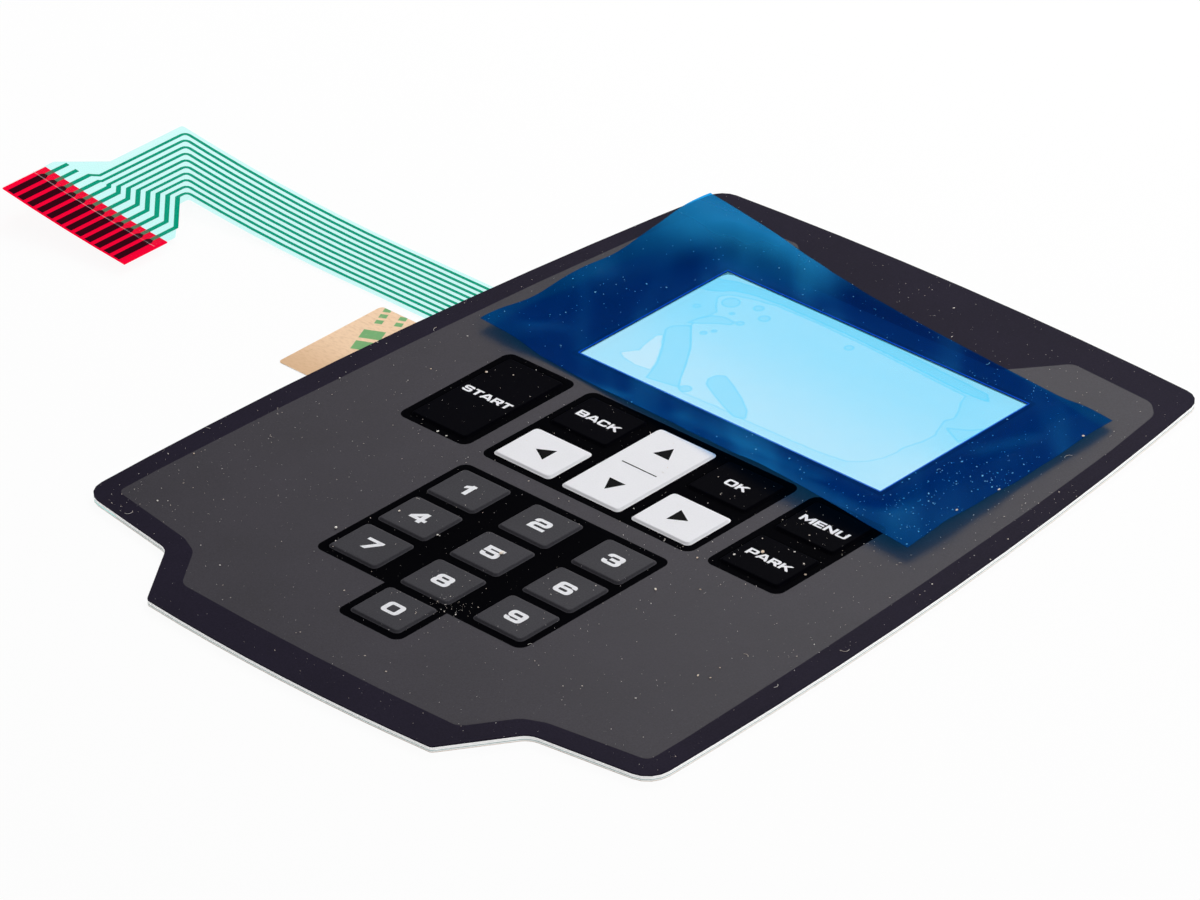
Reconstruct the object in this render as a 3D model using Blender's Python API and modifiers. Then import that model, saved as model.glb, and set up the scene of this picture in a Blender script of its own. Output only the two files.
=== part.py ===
"""Membrane keypad: embossed graphic face, display window, snap domes and a printed flat tail.

The keypad lies face up. X runs across it, Y runs up its face from the chin to the top edge, and Z points
out of the face. The origin is on the centreline, at mid height, on the rear face of the release liner.
"""
import math

import bmesh
import bpy
from mathutils import Vector

MM = 0.001

# Outline of the laminate
PAD_WIDTH = 133.2 * MM
PAD_TOP_Y = 83.4 * MM
PAD_BOTTOM_Y = -83.3 * MM
WIDEST_Y = -50.5 * MM
SIDE_RADIUS = 858 * MM
TOP_RADIUS = 828 * MM
BOTTOM_RADIUS = 440 * MM
SHOULDER_Y = -65.7 * MM
NOTCH_X = 42.6 * MM
NOTCH_Y = -69.0 * MM
CHIN_WIDTH = 66.6 * MM
TOP_CORNER_RADIUS = 4.2 * MM
SHOULDER_RADIUS = 4.5 * MM
NOTCH_RADIUS = 4.0 * MM
CHIN_RADIUS = 1.2 * MM

# Films of the laminate, from the rear to the face
LINER_THICKNESS = 0.12 * MM
REAR_ADHESIVE_THICKNESS = 0.13 * MM
CIRCUIT_THICKNESS = 0.18 * MM
SPACER_THICKNESS = 0.40 * MM
FACE_ADHESIVE_THICKNESS = 0.10 * MM
OVERLAY_THICKNESS = 0.25 * MM
GLUE_LINE = 0.01 * MM

# Display window
WINDOW_WIDTH = 70.8 * MM
WINDOW_HEIGHT = 38.1 * MM
WINDOW_CENTRE_Y = 41.5 * MM
APERTURE_MARGIN = 1.0 * MM
APERTURE_RADIUS = 1.5 * MM

# Function keys: two columns at the sides and three in the middle, two rows
FUNCTION_KEY_WIDTH = 13.6 * MM
FUNCTION_KEY_HEIGHT = 11.0 * MM
FUNCTION_ROW_GAP = 2.65 * MM
FUNCTION_CENTRE_Y = 0.8 * MM
ARROW_COLUMN_PITCH = 16.2 * MM
SIDE_COLUMN_X = 36.3 * MM

# Digit keys: three columns, three rows and the zero below them
DIGIT_KEY_WIDTH = 11.5 * MM
DIGIT_KEY_HEIGHT = 9.7 * MM
DIGIT_COLUMN_PITCH = 17.0 * MM
DIGIT_ROW_PITCH = 11.5 * MM
DIGIT_TOP_ROW_Y = -23.1 * MM

# Embossing of a key face
KEY_CORNER_RADIUS = 1.0 * MM
EMBOSS_HEIGHT = 0.35 * MM
EMBOSS_WALL = 0.55 * MM
EMBOSS_PROFILE = ((0.27, 0.23), (0.64, 0.86), (1.0, 1.0))

# Snap domes
DOME_DIAMETER = 8.0 * MM
DOME_HEIGHT = 0.36 * MM
DOME_SHEET = 0.07 * MM
DOME_TRIM = 0.14
DOME_CLEARANCE = 0.4 * MM

# Tail: a run to the left, then an arm towards the viewer, then the contact end
TAIL_CENTRE_Y = 22.2 * MM
TAIL_WIDTH = 15.6 * MM
ARM_CENTRE_X = -135.5 * MM
ARM_WIDTH = 18.2 * MM
FLARE_TOP_Y = 11.9 * MM
FLARE_END_Y = 3.9 * MM
TAIL_ROOT_RADIUS = 1.2 * MM
ROOT_SPAN = 2.2
TAIL_CORNER_RADIUS = 0.6 * MM
CURL_START_X = -86.5 * MM
CURL_RADIUS = 410 * MM
CURL_FACETS = 8

# Contact end
CONTACT_COUNT = 12
SPARE_CONTACTS = 2
CONTACT_PITCH = 2.54 * MM
CONTACT_WIDTH = 1.55 * MM
CONTACT_TOP_Y = 0.1 * MM
CONTACT_EDGE_GAP = 0.05 * MM
CONNECTOR_CENTRE_X = -134.9 * MM
CONNECTOR_SIDE_MARGIN = 2.2 * MM
CONNECTOR_END_Y = -8.6 * MM
STIFFENER_LENGTH = 10.5 * MM
STIFFENER_THICKNESS = 0.25 * MM
STUB_TOP_Y = 5.4 * MM

# Printed tracks
TRACK_THICKNESS = 0.035 * MM
TRACK_WIDTH = 0.64 * MM
TRACK_WIDE = 0.90 * MM
RUN_TRACK_PITCH = 1.47 * MM
ARM_TRACK_PITCH = 1.60 * MM
ARM_TRACKS_X = -135.3 * MM
TRACK_BEND_RADIUS = 1.0 * MM
JOG_END_Y = 6.1 * MM
THIN_JOGS = 2

# Tail cover
COVER_THICKNESS = 0.10 * MM
COVER_INSET = 0.15 * MM
COVER_END_Y = -1.2 * MM
EDGE_GAP = 0.3 * MM

# Pull tab of the release liner
TAB_WIDTH = 25.4 * MM
TAB_CENTRE_Y = -0.15 * MM
TAB_REACH = 7.9 * MM
TAB_CORNER_RADIUS = 0.8 * MM

# Protective film over the window: its corners from the lower left anticlockwise, and where its edges
# have come away
FILM_THICKNESS = 0.08 * MM
FILM_SEAT_GAP = 0.02 * MM
FILM_LOWER_LEFT = (-55.0 * MM, 17.9 * MM)
FILM_LOWER_RIGHT = (52.3 * MM, 10.4 * MM)
FILM_UPPER_RIGHT = (50.9 * MM, 64.3 * MM)
FILM_UPPER_LEFT = (-51.9 * MM, 73.7 * MM)
FILM_STUCK_MARGIN = 1.5 * MM
FILM_LIFT_RUN = 9.0 * MM
FILM_LIFTS = (
    (0.00, 0.93, 0.27, 0.27, 4.2 * MM),
    (0.00, 0.42, 0.16, 0.17, 1.4 * MM),
    (0.00, 0.04, 0.20, 0.14, 1.4 * MM),
    (0.42, 0.00, 0.12, 0.20, 0.9 * MM),
    (0.70, 0.00, 0.20, 0.22, 2.2 * MM),
    (1.00, 0.18, 0.22, 0.35, 1.5 * MM),
    (1.00, 0.92, 0.20, 0.40, 1.0 * MM),
)
FILM_COLUMNS = 22
FILM_ROWS = 12

# Heights of the films' rear faces
LINER_Z = 0.0
REAR_ADHESIVE_Z = LINER_Z + LINER_THICKNESS + GLUE_LINE
CIRCUIT_Z = REAR_ADHESIVE_Z + REAR_ADHESIVE_THICKNESS + GLUE_LINE
CIRCUIT_TOP_Z = CIRCUIT_Z + CIRCUIT_THICKNESS
SPACER_Z = CIRCUIT_TOP_Z + GLUE_LINE
FACE_ADHESIVE_Z = SPACER_Z + SPACER_THICKNESS + GLUE_LINE
OVERLAY_Z = FACE_ADHESIVE_Z + FACE_ADHESIVE_THICKNESS + GLUE_LINE
FACE_Z = OVERLAY_Z + OVERLAY_THICKNESS
TRACK_Z = CIRCUIT_TOP_Z + GLUE_LINE
COVER_Z = TRACK_Z + TRACK_THICKNESS + GLUE_LINE
STIFFENER_Z = CIRCUIT_Z - GLUE_LINE - STIFFENER_THICKNESS

# Edges that follow from the sizes above
TAIL_LOW_Y = TAIL_CENTRE_Y - TAIL_WIDTH / 2
TAIL_HIGH_Y = TAIL_CENTRE_Y + TAIL_WIDTH / 2
ARM_LEFT_X = ARM_CENTRE_X - ARM_WIDTH / 2
ARM_RIGHT_X = ARM_CENTRE_X + ARM_WIDTH / 2
CONNECTOR_WIDTH = (CONTACT_COUNT - 1) * CONTACT_PITCH + 2 * CONNECTOR_SIDE_MARGIN
CONNECTOR_LEFT_X = CONNECTOR_CENTRE_X - CONNECTOR_WIDTH / 2
CONNECTOR_RIGHT_X = CONNECTOR_CENTRE_X + CONNECTOR_WIDTH / 2
TRACK_COUNT = CONTACT_COUNT - SPARE_CONTACTS


def side_x(y):
    """Half width of the keypad at a height: the sides are one long arc each."""
    return PAD_WIDTH / 2 - SIDE_RADIUS + math.sqrt(SIDE_RADIUS ** 2 - (y - WIDEST_Y) ** 2)


def top_y(x):
    """Height of the top edge, a shallow arc."""
    return PAD_TOP_Y - TOP_RADIUS + math.sqrt(TOP_RADIUS ** 2 - x ** 2)


def bottom_y(x):
    """Height of the chin's edge, a shallow arc."""
    return PAD_BOTTOM_Y + BOTTOM_RADIUS - math.sqrt(BOTTOM_RADIUS ** 2 - x ** 2)


def steps(start, end, count):
    """Values from start to end, both included."""
    return [start + (end - start) * i / count for i in range(count + 1)]


def fillet(before, corner, after, radius, segments=4):
    """Points of an arc that rounds one corner of an outline."""
    corner, before, after = Vector(corner), Vector(before), Vector(after)
    back = (before - corner).normalized()
    ahead = (after - corner).normalized()
    angle = back.angle(ahead)
    reach = min(radius / math.tan(angle / 2), 0.45 * (before - corner).length, 0.45 * (after - corner).length)
    bisector = (back + ahead).normalized()
    centre = corner + bisector * (reach / math.cos(angle / 2))
    first = corner + back * reach - centre
    last = corner + ahead * reach - centre
    turn = first.angle_signed(last)
    points = []
    for i in range(segments + 1):
        a = -turn * i / segments
        points.append(centre + Vector((first.x * math.cos(a) - first.y * math.sin(a),
                                       first.x * math.sin(a) + first.y * math.cos(a))))
    return points


def rounded(points, radii, closed=True, segments=4):
    """Outline with a fillet at each corner that has a radius."""
    count = len(points)
    outline = []
    for i, (point, radius) in enumerate(zip(points, radii)):
        at_end = not closed and i in (0, count - 1)
        if radius and not at_end:
            outline += fillet(points[i - 1], point, points[(i + 1) % count], radius, segments)
        else:
            outline.append(Vector(point))
    return outline


def rectangle(centre_x, centre_y, width, height, radius, segments=2):
    """Rounded rectangle, anticlockwise."""
    x, y = width / 2, height / 2
    corners = [(centre_x + sx * x, centre_y + sy * y) for sx, sy in ((-1, -1), (1, -1), (1, 1), (-1, 1))]
    return rounded(corners, [radius] * 4, segments=segments)


def circle(centre_x, centre_y, diameter, segments=12):
    """Round hole, anticlockwise."""
    angles = [2 * math.pi * (i + 0.5) / segments for i in range(segments)]
    return [Vector((centre_x + math.cos(a) * diameter / 2, centre_y + math.sin(a) * diameter / 2))
            for a in angles]


def pad_outline():
    """Outline of the laminate, clockwise from the middle of the top edge."""
    corner_x = PAD_WIDTH / 2
    for _ in range(12):
        corner_x = side_x(top_y(corner_x))
    corner_y = top_y(corner_x)
    chin_x = CHIN_WIDTH / 2
    points = [(x, top_y(x)) for x in steps(0, corner_x, 4)]
    radii = [0] * 4 + [TOP_CORNER_RADIUS]
    side = [(side_x(y), y) for y in steps(corner_y, SHOULDER_Y, 10)][1:]
    points += side
    radii += [0] * (len(side) - 1) + [SHOULDER_RADIUS]
    points += [(NOTCH_X, NOTCH_Y), (chin_x, bottom_y(chin_x))]
    radii += [NOTCH_RADIUS, CHIN_RADIUS]
    points += [(x, bottom_y(x)) for x in steps(chin_x, 0, 4)[1:]]
    radii += [0] * 4
    right = rounded(points, radii, closed=False)
    left = [Vector((-p.x, p.y)) for p in reversed(right[1:-1])]
    return right + left


def grown_outline(low_y, high_y, root_radius, reach):
    """Laminate outline with a tongue added on the left edge, between two heights."""
    outline = []
    added = False
    span = root_radius * ROOT_SPAN
    for point in pad_outline():
        near = low_y - span <= point.y <= high_y + span
        if point.x > 0 or not near:
            outline.append(point)
        elif not added:
            outline += root_and_tongue(low_y, high_y, root_radius, reach)
            added = True
    return outline


def root_and_tongue(low_y, high_y, root_radius, reach):
    """A tongue's outline with a fillet where each of its edges meets the laminate."""
    below = low_y - root_radius * ROOT_SPAN
    above = high_y + root_radius * ROOT_SPAN
    points = [(-side_x(below), below), (-side_x(low_y), low_y)]
    points += [p for p, _ in reach]
    points += [(-side_x(high_y), high_y), (-side_x(above), above)]
    radii = [0, root_radius] + [r for _, r in reach] + [root_radius, 0]
    return rounded(points, radii, closed=False)


def tail_corners():
    """Corners of the tail beyond the keypad, with their radii, from the near edge round to the far one."""
    r = TAIL_CORNER_RADIUS
    return [
        ((ARM_RIGHT_X, TAIL_LOW_Y), r),
        ((ARM_RIGHT_X, FLARE_TOP_Y), r),
        ((CONNECTOR_RIGHT_X, FLARE_END_Y), r),
        ((CONNECTOR_RIGHT_X, CONNECTOR_END_Y), 0),
        ((CONNECTOR_LEFT_X, CONNECTOR_END_Y), 0),
        ((CONNECTOR_LEFT_X, FLARE_END_Y), r),
        ((ARM_LEFT_X, FLARE_TOP_Y), r),
        ((ARM_LEFT_X, TAIL_HIGH_Y), r),
    ]


def curl(x):
    """How far the tail has risen at a place along X: flat at first, then an even curl in facets."""
    end = CONNECTOR_LEFT_X
    if x >= CURL_START_X:
        return 0.0
    facet = (CURL_START_X - end) / CURL_FACETS
    place = min((CURL_START_X - x) / facet, CURL_FACETS)
    whole = min(int(place), CURL_FACETS - 1)
    low, high = (CURL_RADIUS - math.sqrt(CURL_RADIUS ** 2 - (facet * n) ** 2) for n in (whole, whole + 1))
    return low + (high - low) * (place - whole)


def key_faces():
    """Embossed key faces: name, centre, width, height and the places of the domes below each."""
    row = (FUNCTION_KEY_HEIGHT + FUNCTION_ROW_GAP) / 2
    upper, lower, middle = FUNCTION_CENTRE_Y + row, FUNCTION_CENTRE_Y - row, FUNCTION_CENTRE_Y
    width, height = FUNCTION_KEY_WIDTH, FUNCTION_KEY_HEIGHT
    tall = 2 * FUNCTION_KEY_HEIGHT + FUNCTION_ROW_GAP
    column, side = ARROW_COLUMN_PITCH, SIDE_COLUMN_X
    faces = [
        (-side, middle, width, tall, {"start": middle}),
        (-column, upper, width, height, {"back": upper}),
        (column, upper, width, height, {"ok": upper}),
        (-column, lower, width, height, {"left": lower}),
        (column, lower, width, height, {"right": lower}),
        (0.0, middle, width, tall, {"up": upper, "down": lower}),
        (side, upper, width, height, {"menu": upper}),
        (side, lower, width, height, {"park": lower}),
    ]
    for number in range(10):
        row_index, column_index = divmod(number - 1, 3) if number else (3, 1)
        x = (column_index - 1) * DIGIT_COLUMN_PITCH
        y = DIGIT_TOP_ROW_Y - row_index * DIGIT_ROW_PITCH
        faces.append((x, y, DIGIT_KEY_WIDTH, DIGIT_KEY_HEIGHT, {str(number): y}))
    return faces


def clear_scene():
    """Start from an empty scene."""
    for old in list(bpy.data.objects):
        bpy.data.objects.remove(old, do_unlink=True)


def make_material(name, colour, roughness, metallic=0.0, alpha=1.0):
    """Principled material."""
    material = bpy.data.materials.new(name)
    material.use_nodes = True
    shader = material.node_tree.nodes["Principled BSDF"]
    shader.inputs["Base Color"].default_value = (*colour, 1.0)
    shader.inputs["Roughness"].default_value = roughness
    shader.inputs["Metallic"].default_value = metallic
    shader.inputs["Alpha"].default_value = alpha
    material.diffuse_color = (*colour, alpha)
    return material


class Assembly:
    """The collection and the parent empty that hold the keypad's pieces."""

    def __init__(self, name):
        self.collection = bpy.data.collections.new(name)
        bpy.context.scene.collection.children.link(self.collection)
        self.root = bpy.data.objects.new(name + "_frame", None)
        self.collection.objects.link(self.root)

    def add(self, name, data, material, location=(0, 0, 0)):
        """Link one piece of one material under the parent empty."""
        data.materials.clear()
        data.materials.append(material)
        piece = bpy.data.objects.new(name, data)
        piece.location = location
        piece.parent = self.root
        self.collection.objects.link(piece)
        return piece


def flat_curve(name, outlines, thickness):
    """Filled 2D curve of one or more closed outlines; inner outlines are holes."""
    curve = bpy.data.curves.new(name, "CURVE")
    curve.dimensions = "2D"
    curve.fill_mode = "BOTH"
    curve.extrude = thickness / 2
    for outline in outlines:
        spline = curve.splines.new("POLY")
        spline.points.add(len(outline) - 1)
        for point, place in zip(spline.points, outline):
            point.co = (place[0], place[1], 0.0, 1.0)
        spline.use_cyclic_u = True
    return curve


def die_cut_film(assembly, name, outlines, rear_z, thickness, material):
    """A flat film with its holes."""
    curve = flat_curve(name, outlines, thickness)
    return assembly.add(name, curve, material, (0, 0, rear_z + thickness / 2))


def mesh_of_curve(curve, name):
    """Welded mesh of a flat curve."""
    holder = bpy.data.objects.new(name + "_guide", curve)
    bpy.context.scene.collection.objects.link(holder)
    bpy.context.view_layer.update()
    evaluated = holder.evaluated_get(bpy.context.evaluated_depsgraph_get())
    mesh = bpy.data.meshes.new_from_object(evaluated)
    mesh.name = name
    bpy.data.objects.remove(holder, do_unlink=True)
    shape = bmesh.new()
    shape.from_mesh(mesh)
    bmesh.ops.remove_doubles(shape, verts=shape.verts, dist=1e-7)
    shape.to_mesh(mesh)
    shape.free()
    return mesh


def curled_film(assembly, name, outlines, rear_z, thickness, material):
    """A flat film that follows the tail's curl: it is creased at each facet's edge and lifted."""
    mesh = mesh_of_curve(flat_curve(name, outlines, thickness), name)
    shape = bmesh.new()
    shape.from_mesh(mesh)
    for x in steps(CURL_START_X, CONNECTOR_LEFT_X, CURL_FACETS)[:-1]:
        everything = list(shape.verts) + list(shape.edges) + list(shape.faces)
        bmesh.ops.bisect_plane(shape, geom=everything, dist=1e-7, plane_co=(x, 0, 0), plane_no=(1, 0, 0))
    for vertex in shape.verts:
        vertex.co.z += curl(vertex.co.x)
    bmesh.ops.triangulate(shape, faces=shape.faces)
    shape.to_mesh(mesh)
    shape.free()
    return assembly.add(name, mesh, material, (0, 0, rear_z + thickness / 2))


def window_aperture():
    """Opening behind the display window, a little larger than the clear part of the face."""
    margin = 2 * APERTURE_MARGIN
    return rectangle(0, WINDOW_CENTRE_Y, WINDOW_WIDTH + margin, WINDOW_HEIGHT + margin, APERTURE_RADIUS)


def add_release_liner(assembly, material):
    """Kraft liner over the rear adhesive, with its pull tab on the left."""
    low_y, high_y = TAB_CENTRE_Y - TAB_WIDTH / 2, TAB_CENTRE_Y + TAB_WIDTH / 2
    tab_x = -PAD_WIDTH / 2 - TAB_REACH
    corners = [((tab_x, low_y), TAB_CORNER_RADIUS), ((tab_x, high_y), TAB_CORNER_RADIUS)]
    outline = grown_outline(low_y, high_y, TAB_CORNER_RADIUS, corners)
    die_cut_film(assembly, "release_liner", [outline, window_aperture()], LINER_Z, LINER_THICKNESS, material)


def add_circuit_film(assembly, material):
    """Circuit film and its tail, cut from one sheet."""
    outline = grown_outline(TAIL_LOW_Y, TAIL_HIGH_Y, TAIL_ROOT_RADIUS, tail_corners())
    curled_film(assembly, "circuit_film", [outline, window_aperture()], CIRCUIT_Z, CIRCUIT_THICKNESS, material)


def add_dome_spacer(assembly, material):
    """Spacer film with a round seat for each dome."""
    seats = [circle(x, y, DOME_DIAMETER + 2 * DOME_CLEARANCE)
             for x, _, _, _, domes in key_faces() for y in domes.values()]
    outlines = [pad_outline(), window_aperture()] + seats
    die_cut_film(assembly, "dome_spacer", outlines, SPACER_Z, SPACER_THICKNESS, material)


def add_overlay_adhesive(assembly, material):
    """Adhesive under the face, open below each embossed key."""
    keys = [rectangle(x, y, width, height, KEY_CORNER_RADIUS, 1) for x, y, width, height, _ in key_faces()]
    outlines = [pad_outline(), window_aperture()] + keys
    die_cut_film(assembly, "overlay_adhesive", outlines, FACE_ADHESIVE_Z, FACE_ADHESIVE_THICKNESS, material)


def add_graphic_overlay(assembly, material):
    """The face: one film, formed up into a shallow plateau at each key."""
    faces = key_faces()
    keys = [rectangle(x, y, width, height, KEY_CORNER_RADIUS) for x, y, width, height, _ in faces]
    mesh = mesh_of_curve(flat_curve("graphic_overlay", [pad_outline()] + keys, 0.0), "graphic_overlay")
    shape = bmesh.new()
    shape.from_mesh(mesh)
    for x, y, width, height, _ in faces:
        emboss_key(shape, x, y, width, height)
    bmesh.ops.recalc_face_normals(shape, faces=shape.faces)
    if max(shape.faces, key=lambda f: f.calc_area()).normal.z < 0:
        bmesh.ops.reverse_faces(shape, faces=shape.faces)
    shape.to_mesh(mesh)
    shape.free()
    overlay = assembly.add("graphic_overlay", mesh, material, (0, 0, FACE_Z))
    wall = overlay.modifiers.new("film_thickness", "SOLIDIFY")
    wall.thickness = OVERLAY_THICKNESS
    wall.offset = -1
    wall.use_even_offset = True


def emboss_key(shape, x, y, width, height):
    """Draw one key's opening in the flat sheet up into a plateau with a sloping wall."""
    near_x, near_y = width / 2 * 1.01, height / 2 * 1.01

    def on_key(vertex):
        return abs(vertex.co.x - x) < near_x and abs(vertex.co.y - y) < near_y

    rim = [e for e in shape.edges if e.is_boundary and all(on_key(v) for v in e.verts)]
    inset_done = 0.0
    for inset_share, rise_share in EMBOSS_PROFILE:
        inset = EMBOSS_WALL * inset_share
        ring = bmesh.ops.extrude_edge_only(shape, edges=rim)["geom"]
        for vertex in (g for g in ring if isinstance(g, bmesh.types.BMVert)):
            arc_x = x + math.copysign(width / 2 - KEY_CORNER_RADIUS, vertex.co.x - x)
            arc_y = y + math.copysign(height / 2 - KEY_CORNER_RADIUS, vertex.co.y - y)
            outward = Vector((vertex.co.x - arc_x, vertex.co.y - arc_y, 0)).normalized()
            vertex.co -= outward * (inset - inset_done)
            vertex.co.z = EMBOSS_HEIGHT * rise_share
        rim = [g for g in ring if isinstance(g, bmesh.types.BMEdge) and g.is_boundary]
        inset_done = inset
    bmesh.ops.edgeloop_fill(shape, edges=rim)


def add_domes(assembly, material):
    """One four-legged snap dome for each switch."""
    mesh = dome_mesh()
    for x, _, _, _, domes in key_faces():
        for name, y in domes.items():
            dome = assembly.add("dome_" + name, mesh, material, (x, y, SPACER_Z))
            wall = dome.modifiers.new("sheet", "SOLIDIFY")
            wall.thickness = DOME_SHEET
            wall.offset = 1


def dome_mesh():
    """Underside of a dome: a shallow cap whose sides are trimmed so that it stands on four legs."""
    radius = DOME_DIAMETER / 2
    shape = bmesh.new()
    bmesh.ops.create_cone(shape, cap_ends=True, cap_tris=True, segments=16, radius1=radius,
                          radius2=radius * 0.55, depth=DOME_HEIGHT)
    lowest = [v for v in shape.verts if v.co.z < 0 and v.co.xy.length < radius / 10]
    bmesh.ops.delete(shape, geom=lowest, context="VERTS")
    for vertex in shape.verts:
        flat = vertex.co.xy
        if flat.length > radius * 0.9:
            trim = DOME_TRIM * (0.5 + 0.5 * math.cos(4 * math.atan2(flat.y, flat.x)))
            vertex.co.xy = flat * (1 - trim)
        vertex.co.z = DOME_HEIGHT * (1 - (vertex.co.xy.length / radius) ** 2)
    bmesh.ops.recalc_face_normals(shape, faces=shape.faces)
    if sum(f.normal.z for f in shape.faces) < 0:
        bmesh.ops.reverse_faces(shape, faces=shape.faces)
    for face in shape.faces:
        face.smooth = True
    mesh = bpy.data.meshes.new("snap_dome")
    shape.to_mesh(mesh)
    shape.free()
    return mesh


def contact_x(index):
    """Centre of a contact, counted from the left."""
    return CONNECTOR_CENTRE_X + (index - (CONTACT_COUNT - 1) / 2) * CONTACT_PITCH


def track_route(index):
    """Centreline of a track from the keypad's edge to its contact, with a half width for each stretch."""
    middle = (TRACK_COUNT - 1) / 2
    run_y = TAIL_CENTRE_Y + (middle - index) * RUN_TRACK_PITCH
    arm_x = ARM_TRACKS_X + (index - middle) * ARM_TRACK_PITCH
    end_x = contact_x(index + SPARE_CONTACTS)
    jog_start_y = JOG_END_Y + abs(end_x - arm_x)
    bend = fillet((-side_x(run_y), run_y), (arm_x, run_y), (arm_x, jog_start_y), TRACK_BEND_RADIUS, 3)
    start = Vector((-side_x(run_y) - EDGE_GAP, run_y))
    route = [start] + bend + [Vector((arm_x, jog_start_y)), Vector((end_x, JOG_END_Y))]
    thin, wide = TRACK_WIDTH / 2, TRACK_WIDE / 2
    halves = [thin] * (len(bend) + 1)
    halves.append(thin if index < THIN_JOGS else wide)
    return route, halves


def across(heading):
    """Direction a quarter turn anticlockwise from a heading."""
    return Vector((-heading.y, heading.x))


def ribbon_sides(route, halves):
    """Edges of a flat track, to the left and right of its travel, which ends down the arm."""
    headings = [(b - a).normalized() for a, b in zip(route, route[1:])] + [Vector((0, -1))]
    halves = halves + [TRACK_WIDE / 2]
    first = across(headings[0]) * halves[0]
    left, right = [route[0] + first], [route[0] - first]
    for i, place in enumerate(route[1:]):
        before, after = headings[i], headings[i + 1]
        turn = before.x * after.y - before.y * after.x
        for side, sign in ((left, 1), (right, -1)):
            a = place + across(before) * halves[i] * sign
            b = place + across(after) * halves[i + 1] * sign
            if abs(turn) > 0.02:
                gap = b - a
                along = (gap.x * after.y - gap.y * after.x) / turn
                side.append(a + before * along)
            elif halves[i] != halves[i + 1]:
                side.extend((a, b))
            else:
                side.append(a)
    return left, right


def contact_contour(centre_x):
    """Edge of a contact, clockwise: from its track's +X edge, round the bare pad, to the -X edge."""
    radius = CONTACT_WIDTH / 2
    round_y = CONTACT_TOP_Y - radius
    start = math.asin(TRACK_WIDE / CONTACT_WIDTH)
    arc = [start + (math.pi / 2 - start) * i / 3 for i in range(4)]
    one_side = [Vector((centre_x + radius * math.sin(a), round_y + radius * math.cos(a))) for a in arc]
    one_side.append(Vector((centre_x + radius, CONNECTOR_END_Y + CONTACT_EDGE_GAP)))
    other_side = [Vector((2 * centre_x - p.x, p.y)) for p in reversed(one_side)]
    return one_side + other_side


def add_conductors(assembly, material):
    """Printed conductors: two spare contacts with stubs, then the tracks with theirs."""
    half = TRACK_WIDE / 2
    for index in range(CONTACT_COUNT):
        x = contact_x(index)
        if index < SPARE_CONTACTS:
            left = [Vector((x + half, STUB_TOP_Y))]
            right = [Vector((x - half, STUB_TOP_Y))]
        else:
            left, right = ribbon_sides(*track_route(index - SPARE_CONTACTS))
        outline = left + contact_contour(x) + right[::-1]
        name = "conductor_%02d" % (index + 1)
        curled_film(assembly, name, [outline], TRACK_Z, TRACK_THICKNESS, material)


def add_tail_cover(assembly, material):
    """Clear film over the tracks, from the keypad's edge to short of the bare contacts."""
    inset = COVER_INSET
    low_y, high_y = TAIL_LOW_Y + inset, TAIL_HIGH_Y - inset
    left_x, right_x = ARM_LEFT_X + inset, ARM_RIGHT_X - inset
    end_left_x, end_right_x = CONNECTOR_LEFT_X + inset, CONNECTOR_RIGHT_X - inset
    outline = [
        (right_x, low_y), (right_x, FLARE_TOP_Y), (end_right_x, FLARE_END_Y), (end_right_x, COVER_END_Y),
        (end_left_x, COVER_END_Y), (end_left_x, FLARE_END_Y), (left_x, FLARE_TOP_Y), (left_x, high_y),
    ]
    outline += [(-side_x(y) - EDGE_GAP, y) for y in steps(high_y, low_y, 3)]
    curled_film(assembly, "tail_cover", [outline], COVER_Z, COVER_THICKNESS, material)


def add_stiffener(assembly, material):
    """Stiff strip behind the contacts."""
    top_edge = CONNECTOR_END_Y + STIFFENER_LENGTH
    outline = [(CONNECTOR_LEFT_X, CONNECTOR_END_Y), (CONNECTOR_RIGHT_X, CONNECTOR_END_Y),
               (CONNECTOR_RIGHT_X, top_edge), (CONNECTOR_LEFT_X, top_edge)]
    curled_film(assembly, "tail_stiffener", [outline], STIFFENER_Z, STIFFENER_THICKNESS, material)


def film_lift(u, v, x, y):
    """Height of the protective film above the face: stuck at the window, loose towards its edges."""
    stuck_x = WINDOW_WIDTH / 2 + FILM_STUCK_MARGIN
    stuck_y = WINDOW_HEIGHT / 2 + FILM_STUCK_MARGIN
    away = math.hypot(max(abs(x) - stuck_x, 0), max(abs(y - WINDOW_CENTRE_Y) - stuck_y, 0))
    free = min(away / FILM_LIFT_RUN, 1.0)
    free = free * free * (3 - 2 * free)
    loose = 0.0
    for centre_u, centre_v, spread_u, spread_v, height in FILM_LIFTS:
        loose += height * math.exp(-((u - centre_u) / spread_u) ** 2 - ((v - centre_v) / spread_v) ** 2)
    return free * loose


def add_protective_film(assembly, material):
    """Blue film over the window, with its edges and one corner come away."""
    shape = bmesh.new()
    bmesh.ops.create_grid(shape, x_segments=FILM_COLUMNS, y_segments=FILM_ROWS, size=0.5)
    for vertex in shape.verts:
        u, v = vertex.co.x + 0.5, vertex.co.y + 0.5
        lower = Vector(FILM_LOWER_LEFT).lerp(Vector(FILM_LOWER_RIGHT), u)
        upper = Vector(FILM_UPPER_LEFT).lerp(Vector(FILM_UPPER_RIGHT), u)
        x, y = lower.lerp(upper, v)
        vertex.co = (x, y, film_lift(u, v, x, y))
    for face in shape.faces:
        face.smooth = True
    mesh = bpy.data.meshes.new("protective_film")
    shape.to_mesh(mesh)
    shape.free()
    film = assembly.add("protective_film", mesh, material, (0, 0, FACE_Z + FILM_SEAT_GAP))
    wall = film.modifiers.new("film_thickness", "SOLIDIFY")
    wall.thickness = FILM_THICKNESS
    wall.offset = 1


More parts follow.
